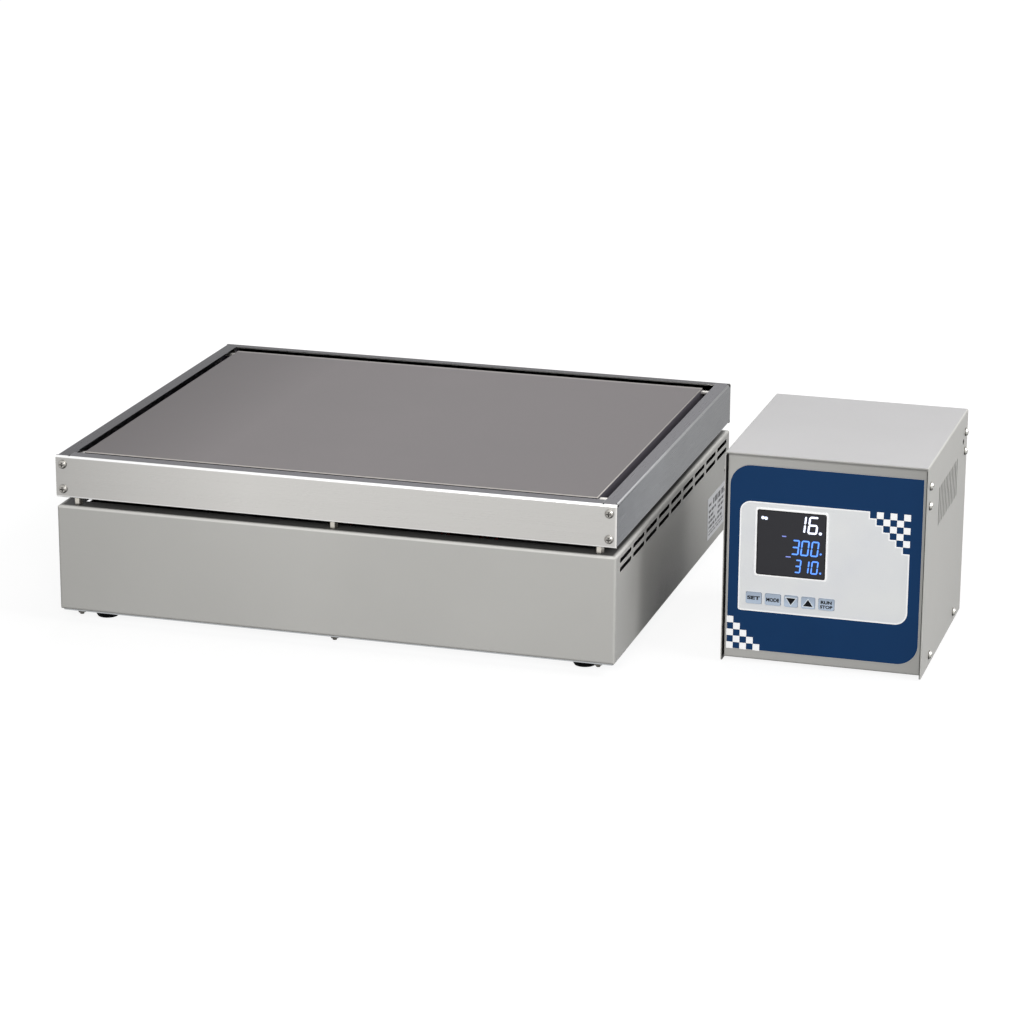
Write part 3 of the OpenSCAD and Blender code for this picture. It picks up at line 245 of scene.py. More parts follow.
    def ramp(self, axis, tone):
        """Grey that follows stops along an axis, each a place in metres and a level."""
        lo, hi = tone[0][0], tone[-1][0]
        node = self.add("ShaderNodeValToRGB")
        marks = node.color_ramp.elements
        for i, (place, level) in enumerate(tone):
            mark = marks[i] if i < 2 else marks.new(0.5)
            mark.position = (place - lo) / (hi - lo)
        for mark, (place, level) in zip(sorted(marks, key=lambda m: m.position), tone):
            mark.color = (level, level, level, 1.0)
        self.join(self.spread(self.at.outputs[axis], lo, hi), node.inputs["Fac"])
        return node.outputs["Color"]


# Unlit insides
DARK = srgb(5, 5, 6)


def painted(name, colour, rough=0.42, variation=0.05, grain=0.00003, bend=0.55, worn_and_lit_edges=(0.0007, 0.3),
            shaded=(), regions=(), shading_tones=(), top=None):
    """Baked paint on sheet steel: faint mottling, orange peel, and paler bends that are a painted
    highlight.

    The paler edges, with their radius and strength, are partly wear and partly a painted highlight. Shaded
    is where the top lies in deep shade, painted dark. Regions are inner and cut faces and places in the
    shade, each with its limits and the colour of its painted shade. The tones are painted light and shade
    that change slowly along an axis, each with its stops and the part's own normal where it holds. Top is a
    painted cast of light on the faces that look up."""
    f = Finish(name)
    cloud = f.noise(7.0, 3.0)
    peel = f.noise(900.0, 2.0)
    speck = f.noise(2600.0, 1.0)
    base = f.mottle(cloud, colour, variation / 2)
    base = f.blend(f.spread(speck, 0.35, 0.65, to_hi=0.12), base, tint(colour, 0.8))
    # Paler edges, partly wear and partly a painted highlight, and paler bends, a painted highlight
    base = f.blend(f.times(f.edges(worn_and_lit_edges[0]), worn_and_lit_edges[1]), base, tint(colour, 1.3))
    base = f.blend(f.times(f.bend(), bend), base, tint(colour, 1.5))
    # Painted cast of light on the faces that look up
    if top:
        base = f.blend(f.turned(*TOP_FACE), base, f.blend(1.0, base, top, "MULTIPLY"))
    # Painted light and shade in slow tones
    for axis, tone, face in shading_tones:
        base = f.blend(f.turned(*face), base, f.toned(base, axis, tone))
    # Painted shade on the top in deep shade, and on the regions
    if shaded:
        base = f.blend(f.times(f.past(*shaded), f.turned("Z", 0.8, 0.95), 0.85), base, DARK)
    for limits, shade in regions:
        base = f.blend(f.past(*limits), base, shade)
    f.colour(base).rough(peel, rough - 0.05, rough + 0.07)
    f.bump(peel, grain).bump(speck, grain / 3)
    return f.fixed(Specular_IOR_Level=0.08).material


def brushed(name, colour, along, rough=0.33, variation=0.01, grain=0.000005, lip=None, bend=None,
            tone=None, bend_tone=None, even_bend=True, inside=(), inner=DARK, sheen=1.0):
    """Sheet metal with a grain along one axis, 0 X, 1 Y or 2 Z.

    The lip colour is painted shade on the faces that look up, and the bend colour a painted highlight or
    shade on the bend beside them. Tone and bend_tone are painted light and shade along an axis, each with
    its stops; an even bend doesn't follow the tone. Inside is the region of the sheet's inner faces,
    painted in shade, and inner the colour of that shade. Sheen is how much of the grazing reflection is
    left. Undersides and edges are painted paler as light, and gaps darker as painted shade."""
    f = Finish(name)
    stretch = [1.0, 1.0, 1.0]
    stretch[along] = 0.012
    vector = f.scaled(*stretch)
    hair = f.noise(2200.0, 3.0, 0.6, vector)
    streak = f.noise(420.0, 3.0, 0.6, vector)
    cloud = f.noise(5.0, 2.0)
    base = f.mottle(streak, colour, variation)
    base = f.blend(f.spread(cloud, 0.35, 0.65, to_hi=0.3), base, tint(colour, 1 - variation))
    # Painted light and shade: the bend's highlight, the tone along an axis and the lips' shade
    if bend_tone:
        bend = f.toned(bend, *bend_tone)
    if bend and not even_bend:
        base = f.blend(f.bend(), base, bend)
    if tone:
        base = f.toned(base, *tone)
    if lip:
        base = f.blend(f.turned(*TOP_FACE), base, lip)
    if bend and even_bend:
        base = f.blend(f.bend(), base, bend)
    # Undersides paler as a painted reflection, and edges paler as a painted highlight
    base = f.blend(f.times(f.turned(*UNDERSIDE), 0.6), base, tint(colour, 1.3))
    base = f.blend(f.times(f.edges(0.0005), 0.5), base, tint(colour, 1.3))
    # Painted shade on the inner faces, and deep in gaps and corners
    if inside:
        base = f.blend(f.past(*inside), base, inner)
    base = f.blend(f.times(f.gap_shade(0.004), 0.8), base, tint(colour, 0.1))
    f.colour(base).rough(hair, rough - 0.04, rough + 0.05)
    f.bump(hair, grain)
    return f.fixed(Metallic=1.0, Specular_Tint=(sheen, sheen, sheen, 1)).material


def moulded(name, colour, rough=0.5, grain=0.00002, variation=0.08, scale=1500.0, gloss=0.5):
    """Moulded plastic or rubber with a spark-eroded grain."""
    f = Finish(name)
    skin = f.noise(scale, 2.0)
    base = f.mottle(f.noise(40.0, 2.0), colour, variation)
    # Paler edges, a painted highlight
    base = f.blend(f.times(f.edges(0.0003), 0.3), base, tint(colour, 1.5))
    f.colour(base).rough(skin, rough - 0.06, rough + 0.06).bump(skin, grain)
    return f.fixed(Specular_IOR_Level=gloss).material


def plated(name, colour, rough=0.25, variation=0.06, painted_shade_below=0.0):
    """Turned or rolled metal with a bright plating and stains, with painted shade underneath and in its
    recesses.
    """
    f = Finish(name)
    spots = f.noise(700.0, 3.0)
    stain = f.noise(120.0, 2.0)
    base = f.mottle(stain, colour, -variation, 0.35)
    # Painted shade: the lower part darker, and the recesses darker
    base = f.blend(f.times(f.turned("Z", 0.2, -0.45), painted_shade_below), base, tint(colour, 0.1))
    base = f.blend(f.gap_shade(0.0025, 0.35, 0.85), base, tint(colour, 0.05))
    f.colour(base).rough(spots, rough - 0.08, rough + 0.1).bump(spots, 0.000006)
    return f.fixed(Metallic=1.0).material


def printed(name, colour, rough=0.38, variation=0.03, grain=0.000008, gloss=0.12, painted_glow=0.0):
    """Ink on polyester film: even, with a faint fine texture, and made whiter than white by a painted glow
    of its own.
    """
    f = Finish(name)
    skin = f.noise(3000.0, 1.0)
    f.colour(f.mottle(f.noise(25.0, 2.0), colour, variation))
    f.rough(skin, rough - 0.04, rough + 0.05).bump(skin, grain)
    f.fixed(Specular_IOR_Level=gloss, Emission_Color=(1, 1, 1, 1), Emission_Strength=painted_glow)
    return f.material


def glowing(name, colour, strength):
    """Lit segment of the display: ink colour with its own light."""
    f = Finish(name)
    base = f.blend(f.spread(f.noise(900.0, 1.0)), tint(colour, 0.94), colour)
    f.colour(base).rough(f.noise(2000.0, 1.0), 0.25, 0.35)
    f.join(base, f.shader.inputs["Emission Color"])
    return f.fixed(Emission_Strength=strength, Specular_IOR_Level=0.2).material


def plate_finish():
    """Hard satin coating on the plate, with wear that shows bright along the machined chamfer, and painted
    light and shade: a tone across it, a painted highlight on the rear rim and painted shade on its sides.
    """
    f = Finish("plate_coating")
    colour = srgb(125, 120, 121)
    bare_lit_chamfer, rear_rim_highlight = srgb(196, 191, 186), srgb(205, 200, 196)
    sides, lit_right_side = srgb(34, 33, 34), srgb(98, 94, 102)
    cloud = f.noise(6.0, 3.0, 0.55)
    grain = f.noise(1800.0, 2.0)
    base = f.mottle(cloud, colour, 0.05)
    base = f.blend(f.spread(grain, to_hi=0.25), base, tint(colour, 0.8))
    # Painted light and shade across the plate: darker at the left, and a little at the right
    base = f.toned(base, "X", stops(plate_lo.x, (0, 0.66), (0.05, 0.77), (0.12, 0.97), (0.25, 0.98),
                                    (plate_w, 0.84)))
    # Painted highlight along the rear rim
    rear_rim = f.past(("Y", plate_hi.y - 0.006, 0.002))
    base = f.blend(f.times(rear_rim, 0.35), base, rear_rim_highlight)
    chamfer = f.times(f.turned("Z", 0.3, 0.5), f.turned("Z", 0.97, 0.85))
    # Painted light on the bare chamfer, fading towards the rear
    bare_lit_chamfer = f.toned(bare_lit_chamfer, "Y", stops(plate_lo.y, (0, 1.0), (0.1, 0.75), (plate_d, 0.5)))
    base = f.blend(chamfer, base, bare_lit_chamfer)
    # Painted shade on the sides, lighter on the right side where the light falls
    base = f.blend(f.turned(*UPRIGHT), base, sides)
    base = f.blend(f.times(f.turned("X", 0.5, 0.9), f.turned(*UPRIGHT)), base, lit_right_side)
    f.colour(base).rough(cloud, 0.48, 0.52).bump(grain, 0.000012)
    return f.fixed(Specular_IOR_Level=0.16).material


def paint_node(material, *names):
    """Gives solids one material in place of their own."""
    for name in names:
        slots = nodes[name].material_slots
        if not slots:
            nodes[name].data.materials.append(material)
        for slot in nodes[name].material_slots:
            slot.material = material


# Colours of paint, metal and ink, and of painted light and shade

PAINT = srgb(205, 204, 200)
SHEET = srgb(172, 174, 176)
STEEL = srgb(252, 250, 246)
# Side frames: the same steel as the front band, painted darker as shade
SHADED_SIDE_STEEL = srgb(142, 145, 151)
# Painted shade on the lips that look up
SHADED_LIP_STEEL = srgb(92, 91, 96)
# Painted light on the left frame's inner faces
LIT_INNER_STEEL = srgb(128, 125, 134)
# Painted highlights on the bends
BEND_HIGHLIGHT = srgb(246, 246, 246)
SIDE_BEND_HIGHLIGHT = srgb(234, 235, 237)
INK_BLUE = srgb(20, 59, 103)
PANEL_WHITE = srgb(250, 252, 255)
FULL_WHITE = srgb(255, 255, 255)


# Regions of the painted sheets, as limits for Finish.past

# Depths under the outer faces, in metres: of a sheet's inner face, of a lip's underside and of a cut face
SKIN = 0.0009
LIP_SKIN = 0.0013
CUT = 0.00004

# Strip beside the base's edges that the shade leaves free, and height of the cover's top with its cut edge
SHADE_MARGIN = 0.0025
TOP_SHEET = 0.003

# Bounds of the slots in the sides, in metres back from the upper edge or the rear, or on from the front
VENT_ENDS = 0.012
VENT_DROPS = (0.0195, 0.0045)
HOOK_FROM_REAR = (0.0262, 0.018)
HOOK_DROPS = (0.033, 0.02)
LOUVRE_FROM_FRONT = (0.055, 0.17)
LOUVRE_DROPS = (0.074, 0.033)

# Width of the painted shade on the front panel's left edge, standing for the dark gap beside the cover's
# left side
PANEL_GAP = 0.0022

# Shade low on the base's right side: places from its front and its lower edge, and lengths of the rises
GLOOM_START, GLOOM_RISE = 0.07, 0.1
GLOOM_END, GLOOM_FALL = 0.41, 0.22
GLOOM_TOP, GLOOM_DEPTH = 0.075, 0.08


def between(axis, lo, hi, rise=HAIR):
    """Limits that hold between two places along an axis."""
    return ((axis, lo, rise), (axis, hi, -rise))


def back_from(place, distances):
    """Places at distances back from a place."""
    return [place - distance for distance in distances]


def through(lo, hi, y, z):
    """Region of the cut faces in both upright sides, between two places in Y and two in Z."""
    return between("X", lo.x + CUT, hi.x - CUT, CUT) + between("Y", *y) + between("Z", *z)


base_inside = (between("X", unit_lo.x + SKIN, unit_hi.x - SKIN)
               + between("Y", unit_lo.y + SKIN, unit_hi.y - SKIN) + (("Z", unit_hi.z - SKIN, -HAIR),))
base_shaded = (between("X", unit_lo.x + SHADE_MARGIN, unit_hi.x - SHADE_MARGIN, SHADE_MARGIN)
               + between("Y", unit_lo.y + SHADE_MARGIN, unit_hi.y - SHADE_MARGIN, SHADE_MARGIN))
base_gloom = (("X", unit_hi.x - CUT, CUT), ("Y", unit_lo.y + GLOOM_START, GLOOM_RISE),
              ("Y", unit_lo.y + GLOOM_END, -GLOOM_FALL), ("Z", unit_lo.z + GLOOM_TOP, -GLOOM_DEPTH))
vent_holes = through(unit_lo, unit_hi, (unit_lo.y + VENT_ENDS, unit_hi.y - VENT_ENDS),
                     back_from(unit_hi.z, VENT_DROPS))
cover_inside = between("X", cover_lo.x + SKIN, cover_hi.x - SKIN) + (("Z", cover_hi.z - SKIN, -HAIR),)
cover_top = (between("X", cover_lo.x + SKIN, cover_hi.x - SKIN)
             + between("Z", cover_hi.z - TOP_SHEET, cover_hi.z - SKIN))
hook_hole = through(cover_lo, cover_hi, back_from(cover_hi.y, HOOK_FROM_REAR),
                    back_from(cover_hi.z, HOOK_DROPS))
louvre_holes = through(cover_lo, cover_hi, [cover_lo.y + distance for distance in LOUVRE_FROM_FRONT],
                       back_from(cover_hi.z, LOUVRE_DROPS))
panel_edge = (("X", cover_lo.x + PANEL_GAP, -HAIR),)


# Painted sheets, with the studio's light and shade painted on them as slow tones

# Painted light on the base's front, paler towards the right, and painted shade on its right side, darker
# from a little behind its front
base_shading = (
    ("X", stops(unit_lo.x, (0, 1.0), (0.1, 1.05), (0.25, 1.11), (unit_w - 0.1, 1.11), (unit_w, 1.05)),
     FRONT_FACE),
    ("Y", stops(unit_lo.y, (0, 0.94), (0.08, 1.0), (0.13, 0.76), (0.18, 0.66), (0.27, 0.78), (0.34, 0.74),
                (unit_d, 0.64)), RIGHT_FACE),
)
# Painted shade on the cover's right side and top, darker towards the rear
cover_shading = (
    ("Y", stops(cover_lo.y, (0, 0.97), (cover_d, 0.9)), RIGHT_FACE),
    ("Y", stops(cover_lo.y, (0, 0.97), (0.05, 0.965), (cover_d, 0.92)), TOP_FACE),
)
# Painted shade on the front panel, darker towards the right
panel_shading = (("X", stops(cover_lo.x, (0, 0.97), (0.08, 0.91), (cover_w, 0.8)), FRONT_FACE),)
# Painted shade low on the base's right side, on its inner faces and in its vent slots
base_regions = ((base_gloom, tint(PAINT, 0.02)), (base_inside, DARK), (vent_holes, DARK))
# Painted shade on the cover's inner faces, on its top sheet's inside and cut edge, in its louvres and in
# its hook slot
cover_regions = ((cover_inside, DARK), (cover_top, tint(PAINT, 0.6)), (louvre_holes, tint(PAINT, 0.95)),
                 (hook_hole, DARK))
# Painted cool light on the cover's top
COOL_LIGHT_ON_TOP = (1.0, 1.0, 1.054, 1.0)
# The base's paler edges are partly wear and partly a painted highlight on the rims of its slots
paint_node(painted("base_paint", PAINT, worn_and_lit_edges=(0.0012, 0.7), shaded=base_shaded, regions=base_regions,
                   shading_tones=base_shading), "base_casing")
paint_node(painted("cover_paint", PAINT, bend=0.2, regions=cover_regions, shading_tones=cover_shading, top=COOL_LIGHT_ON_TOP),
           "cover")
paint_node(painted("panel_paint", PAINT, regions=((panel_edge, DARK),), shading_tones=panel_shading), "front_panel")
paint_node(painted("rear_paint", PAINT), "rear_panel")


# Sides of the frame

def frame_side(name, colour, along, wall, **looks):
    """Finishes one side of the frame; wall is the axis, place and inward way of its outer face."""
    axis, place, way = wall
    # Painted shade on the inner faces and under the lips
    inside = ((axis, place + way * SKIN, way * HAIR), ("Z", frame_hi.z - LIP_SKIN, -HAIR),
              ("Z", frame_lo.z + SKIN / 2, HAIR))
    paint_node(brushed(name, colour, along, rough=0.3, grain=0.0000025, inside=inside, **looks), name)


# Painted reflections along the bands: the front and rear bands darker at the left and at the right end, the
# side bands darker towards the rear, and the right bend's highlight paler towards the rear
end_shading = ("X", stops(unit_lo.x, (0, 0.4), (0.09, 0.49), (0.19, 0.57), (0.285, 0.77), (unit_w - 0.16, 1.0),
                       (unit_w - 0.065, 0.82), (unit_w, 0.5)))
side_shading = ("Y", stops(unit_lo.y, (0, 1.3), (0.1, 0.78), (0.2, 0.42), (0.3, 0.33), (unit_d, 0.26)))
right_bend_shading = ("Y", stops(unit_lo.y, (0.045, 0.58), (0.11, 0.76), (0.18, 0.96), (unit_d, 1.05)))
# Each side gets a painted highlight or shade on its bend and painted shade on its lip
frame_side("frame_front", STEEL, 0, ("Y", frame_lo.y, 1), tone=end_shading, bend=BEND_HIGHLIGHT, lip=SHADED_LIP_STEEL,
           sheen=0.85)
frame_side("frame_rear", STEEL, 0, ("Y", frame_hi.y, -1), tone=end_shading, bend=tint(SHADED_LIP_STEEL, 0.7),
           lip=tint(SHADED_LIP_STEEL, 0.65), sheen=0.78)
frame_side("frame_right", SHADED_SIDE_STEEL, 1, ("X", unit_hi.x, -1), tone=side_shading, bend=SIDE_BEND_HIGHLIGHT,
           lip=SHADED_LIP_STEEL, bend_tone=right_bend_shading, even_bend=False, sheen=0.9)
frame_side("frame_left", SHADED_SIDE_STEEL, 1, ("X", unit_lo.x, 1), tone=side_shading, bend=SIDE_BEND_HIGHLIGHT,
           lip=tint(SHADED_LIP_STEEL, 0.62), even_bend=False, inner=LIT_INNER_STEEL, sheen=0.78)


# Other solids

paint_node(brushed("zinc_sheet", SHEET, 0, rough=0.4),
           "base_bottom", "chassis", "heat_shield", "clamp_plate")
paint_node(brushed("bracket_strip", srgb(214, 211, 206), 2, rough=0.3), "plate_brackets")
paint_node(plate_finish(), "top_plate")
# Plated screws, bolts, rods and nuts get painted shade on their lower parts
paint_node(plated("bright_plating", srgb(206, 204, 198), rough=0.2, painted_shade_below=0.9),
           "cover_screws", "clamp_bolts")
paint_node(plated("screw_plating", srgb(176, 173, 168), rough=0.2, painted_shade_below=0.95), "frame_screws")
paint_node(plated("dull_zinc", srgb(96, 94, 90), rough=0.4, painted_shade_below=0.6),
           "tie_rods", "unit_nuts", "foot_screws")
paint_node(plated("spacer_plating", srgb(196, 192, 184), rough=0.3), "hex_spacers")
paint_node(plated("probe_steel", srgb(196, 195, 192), rough=0.32), "thermocouple")
paint_node(plated("connector_nickel", srgb(196, 196, 192), rough=0.28), "heater_inlet", "heater_outlet")
paint_node(moulded("foot_rubber", srgb(13, 13, 14), rough=0.75, grain=0.00004, gloss=0.04),
           "rubber_feet", "controller_feet")
paint_node(moulded("black_plastic", srgb(34, 34, 37), rough=0.45),
           "inlet_insert", "outlet_insert", "mains_inlet", "power_switch", "fuse_holder", "terminal_strip",
           "key_switches", "overheat_thermostat", "digit_module", "board_parts")
paint_node(moulded("jack_plastic", srgb(212, 205, 180), rough=0.45), "sensor_jack", "sensor_socket")
paint_node(printed("label_foil", srgb(190, 191, 195), rough=0.4, gloss=0.4), "rating_plate")
paint_node(moulded("block_ceramic", srgb(232, 226, 212), rough=0.3, scale=500.0), "terminal_block")
paint_node(moulded("lead_sleeve", srgb(150, 44, 34), rough=0.6), "unit_wiring")
paint_node(moulded("fibre_board", srgb(96, 93, 88), rough=0.9, grain=0.00015, scale=400.0),
           "insulation_board")
paint_node(moulded("mica_sheet", srgb(172, 150, 106), rough=0.35, variation=0.18, scale=160.0),
           "mica_heaters")
paint_node(printed("overlay_ink", INK_BLUE, rough=0.42), "overlay")
paint_node(printed("facia_ink", PANEL_WHITE, rough=0.3, gloss=0.5), "facia")
# The bezel's white ink gets a painted glow, whiter than white
paint_node(printed("bezel_ink", FULL_WHITE, rough=0.3, gloss=0.6, painted_glow=0.24), "display_bezel")
paint_node(printed("window_tint", srgb(58, 58, 62), rough=0.2), "display_window")
paint_node(moulded("board_laminate", srgb(38, 92, 58), rough=0.4, variation=0.12),
           "display_board", "control_board")
paint_node(plated("spacer_brass", srgb(190, 160, 92), rough=0.3), "board_spacers")
paint_node(moulded("core_varnish", srgb(70, 72, 75), rough=0.4, scale=800.0), "transformer_core")
paint_node(moulded("coil_enamel", srgb(158, 88, 42), rough=0.35, scale=900.0), "transformer_coil")
paint_node(brushed("sink_extrusion", srgb(176, 179, 183), 2, rough=0.35), "heat_sink")
paint_node(moulded("relay_case", srgb(224, 220, 210), rough=0.45), "relay")
paint_node(moulded("rocker_red", srgb(170, 34, 28), rough=0.3), "power_rocker")


def key_finish():
    """Pale blue key cap, a little paler towards its lower edge and darker round its rim."""
    f = Finish("key_cap")
    colour = srgb(206, 222, 242)
    key_lo, key_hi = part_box("key_set")
    fade = 0.006
    lower_part = f.past(("Z", (key_lo.z + key_hi.z + fade) / 2, -fade))
    base = f.mottle(f.noise(60.0, 2.0), colour, 0.04)
    base = f.blend(lower_part, tint(colour, 0.8), base)
    base = f.blend(f.times(f.edges(0.0006), 0.7), base, tint(colour, 0.6))
    skin = f.noise(3000.0, 1.0)
    f.colour(base).rough(skin, 0.35, 0.45).bump(skin, 0.000008)
    return f.fixed(Specular_IOR_Level=0.2).material


paint_node(key_finish(), "key_set", "key_mode", "key_down", "key_up", "key_run")


# Thin printed pieces

def prisms(name, polygons, corner, across, out, thickness, material, body):
    """One piece of prisms, from outlines in mm across and up from a corner, as thick as told in mm."""
    mesh = bpy.data.meshes.new(name)
    bm = bmesh.new()
    for outline in polygons:
        back = [bm.verts.new(corner + across * u * MM + Vector((0, 0, v * MM))) for u, v in outline]
        front = [bm.verts.new(v.co + out * thickness * MM) for v in back]
        bm.faces.new(front)
        bm.faces.new(back[::-1])
        count = len(back)
        for i in range(count):
            j = (i + 1) % count
            bm.faces.new((back[i], back[j], front[j], front[i]))
    bmesh.ops.recalc_face_normals(bm, faces=bm.faces)
    bm.to_mesh(mesh)
    bm.free()
    mesh.materials.append(material)
    piece = bpy.data.objects.new(name, mesh)
    bpy.context.scene.collection.objects.link(piece)
    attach(piece, body)
    return piece


def flat_piece(name, polygons, y, thickness, material, body=CONTROLLER):
    """Prisms on the plane y, from outlines in X and Z of the controller's corner."""
    corner = Vector((cover_lo.x, y, 0))
    across, out = Vector((1, 0, 0)), Vector((0, -1, 0))
    return prisms(name, polygons, corner, across, out, thickness, material, body)


def square(x, z, w, h):
    """Outline of a rectangle from its lower left corner."""
    return [(x, z), (x + w, z), (x + w, z + h), (x, z + h)]


def round_corner(cx, cz, r, start, steps=8):
    """Points of a quarter circle, anticlockwise from an angle in degrees."""
    return [(cx + r * math.cos(math.radians(start + 90 * i / steps)),
             cz + r * math.sin(math.radians(start + 90 * i / steps))) for i in range(steps + 1)]


def band(outline, width):
    """Quads that follow a closed anticlockwise outline, from the outline inwards by the width."""
    count = len(outline)
    inner = []
    for i in range(count):
        (ax, az), (bx, bz), (cx, cz) = outline[i - 1], outline[i], outline[(i + 1) % count]
        d1 = Vector((bx - ax, bz - az)).normalized()
        d2 = Vector((cx - bx, cz - bz)).normalized()
        n1, n2 = Vector((-d1.y, d1.x)), Vector((-d2.y, d2.x))
        mid = (n1 + n2).normalized()
        reach = width / max(0.3, mid.dot(n1))
        inner.append((bx + mid.x * reach, bz + mid.y * reach))
    return [[outline[i], outline[(i + 1) % count], inner[(i + 1) % count], inner[i]] for i in range(count)]


# Print on the controller's front, in mm from its left edge and the bench

# Thickness of ink, widths of borders, radii of corners, and size and rows of both flights of cells
INK = 0.06
FACIA_BORDER, OVERLAY_RIM, WINDOW_RIM = 1.1, 0.5, 0.7
R_TOP, R_LEFT, R_RIGHT = 10, 2, 11.5
R_OVERLAY, R_WINDOW = 20, 1.5
CELL, CELL_ROWS = 6.2, 6
LOW_CELL, LOW_ROWS = 6.25, 5


def across_front(lo, hi):
    """Left and right end of a solid, in mm from the controller's left edge."""
    return (lo.x - cover_lo.x) / MM, (hi.x - cover_lo.x) / MM


ov_x0, ov_x1 = across_front(overlay_lo, overlay_hi)
ov_z0, ov_z1 = overlay_lo.z / MM, overlay_hi.z / MM
fa_x0, fa_x1 = across_front(facia_lo, facia_hi)
fa_z0, fa_z1 = facia_lo.z / MM, facia_hi.z / MM
overlay_y = overlay_lo.y
facia_y = facia_lo.y

# White ink with a painted glow, whiter than white
white_ink = printed("white_ink", FULL_WHITE, rough=0.25, gloss=0.6, painted_glow=0.22)
# Pale ink for the painted highlight along the overlay's edge
rim_highlight_ink = printed("rim_highlight_ink", srgb(205, 203, 198))

# The facia's upper right corner goes down in stairs of one cell each
stairs = []
for row in range(CELL_ROWS - 1, -1, -1):
    z = fa_z1 - (row + 1) * CELL
    stairs += [(fa_x1 - (CELL_ROWS - 1 - row) * CELL, z), (fa_x1 - (CELL_ROWS - row) * CELL, z)]
facia_outline = (round_corner(fa_x0 + R_LEFT, fa_z0 + R_LEFT, R_LEFT, 180, 4)
                 + round_corner(fa_x1 - R_RIGHT, fa_z0 + R_RIGHT, R_RIGHT, 270, 10)
                 + stairs + [(fa_x1 - CELL_ROWS * CELL, fa_z1)]
                 + round_corner(fa_x0 + R_TOP, fa_z1 - R_TOP, R_TOP, 90, 10))
flat_piece("facia_border", band(facia_outline, FACIA_BORDER), facia_y, INK, white_ink)

low_top = ov_z0 + LOW_ROWS * LOW_CELL
cells = [square(fa_x1 - (CELL_ROWS - column) * CELL, fa_z1 - (row + 1) * CELL, CELL, CELL)
         for row in range(CELL_ROWS) for column in range(row, CELL_ROWS) if (column - row) % 2]
cells += [square(ov_x0 + column * LOW_CELL, low_top - (row + 1) * LOW_CELL, LOW_CELL, LOW_CELL)
          for row in range(LOW_ROWS) for column in range(row + 1) if (row - column) % 2 == 0]
flat_piece("checker_cells", cells, overlay_y, INK, white_ink)

overlay_outline = ([(ov_x0, ov_z0)]
                   + round_corner(ov_x1 - R_OVERLAY, ov_z0 + R_OVERLAY, R_OVERLAY, 270, 16)
                   + [(ov_x1, ov_z1)]
                   + round_corner(ov_x0 + R_OVERLAY, ov_z1 - R_OVERLAY, R_OVERLAY, 90, 16))
# Painted highlight along the overlay's edge, as a pale rim of ink
flat_piece("overlay_rim_highlight", band(overlay_outline, OVERLAY_RIM), overlay_y, INK / 2, rim_highlight_ink)


# Lit digits

SEGMENTS = {"0": "abcdef", "1": "bc", "3": "abcdg", "6": "acdefg"}
SLANT = 0.1
GAP_SHARE = 0.12


def digit(char, x, z, w, h, t):
    """Hexagonal bars of a seven-segment digit with a stroke t, its lower left corner at x, z."""
    half, gap = h / 2, t * GAP_SHARE
    bars = {
        "a": ((0, h - t / 2), (w, h - t / 2)), "g": ((0, half), (w, half)), "d": ((0, t / 2), (w, t / 2)),
        "f": ((t / 2, half), (t / 2, h)), "b": ((w - t / 2, half), (w - t / 2, h)),
        "e": ((t / 2, 0), (t / 2, half)), "c": ((w - t / 2, 0), (w - t / 2, half)),
    }
    shapes = []
    for key in SEGMENTS[char]:
        (ax, az), (bx, bz) = bars[key]
        k = t / 2
        if az == bz:
            a, b = ax + gap + k * 0.5, bx - gap - k * 0.5
            points = [(a, az), (a + k, az - k), (b - k, az - k), (b, az), (b - k, az + k), (a + k, az + k)]
        else:
            a, b = az + gap + (k * 0.5 if az == 0 else 0), bz - gap - (k * 0.5 if bz == h else 0)
            points = [(ax, a), (ax + k, a + k), (ax + k, b - k), (ax, b), (ax - k, b - k), (ax - k, a + k)]
        shapes.append([(x + px + SLANT * pz, z + pz) for px, pz in points])
    return shapes


def dot(x, z, r, steps=12):
    """Outline of a round dot about its middle."""
    turns = [math.tau * i / steps for i in range(steps)]
    return [(x + r * math.cos(turn), z + r * math.sin(turn)) for turn in turns]


def on_window(name, shapes, material, thickness=INK):
    """Light or print on the display's window."""
    return flat_piece(name, shapes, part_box("display_window")[0].y, thickness, material)


white_glow = glowing("digit_white", srgb(240, 246, 255), 0.9)
blue_glow = glowing("digit_blue", srgb(98, 155, 248), 0.9)
pale_glow = glowing("mark_glow", srgb(128, 140, 214), 0.7)
unit_glow = glowing("unit_glow", srgb(222, 230, 252), 0.9)

# Character, left, bottom, width, height and stroke, in mm
WHITE_DIGITS = (("1", 66.5, 128.5, 8.2, 16.8, 1.7), ("6", 76.7, 128.3, 9.2, 16.8, 1.8))
BLUE_DIGITS = (
    ("3", 62.4, 107.4, 6.8, 14.4, 1.3), ("0", 70.7, 107.2, 7.5, 14.6, 1.3),
    ("0", 80.0, 107.2, 7.1, 14.6, 1.3), ("3", 65.7, 90.4, 5.6, 12.8, 1.2),
    ("1", 71.9, 90.5, 6.9, 12.6, 1.2), ("0", 80.6, 90.5, 6.5, 12.6, 1.2),
)

# Middle and radius of the dots, and left, bottom, width and height of the bars, in mm
WHITE_DOTS = ((88.9, 129.5, 1.45),)
BLUE_DOTS = ((89.8, 110.2, 0.9), (89.9, 92.0, 0.9))
ROW_MARKS = ((53.7, 123.7, 3.9, 1.0), (57.6, 104.6, 4.7, 1.0))
UNIT_DOTS = ((35.5, 140.2, 1.55), (38.6, 139.8, 1.55))
UNIT_BAR = (35.9, 139.2, 2.4, 1.7)

# Width that the glow adds to a stroke, and width of the bezel round the window
HALO = 1.1
BEZEL_W = 1.5


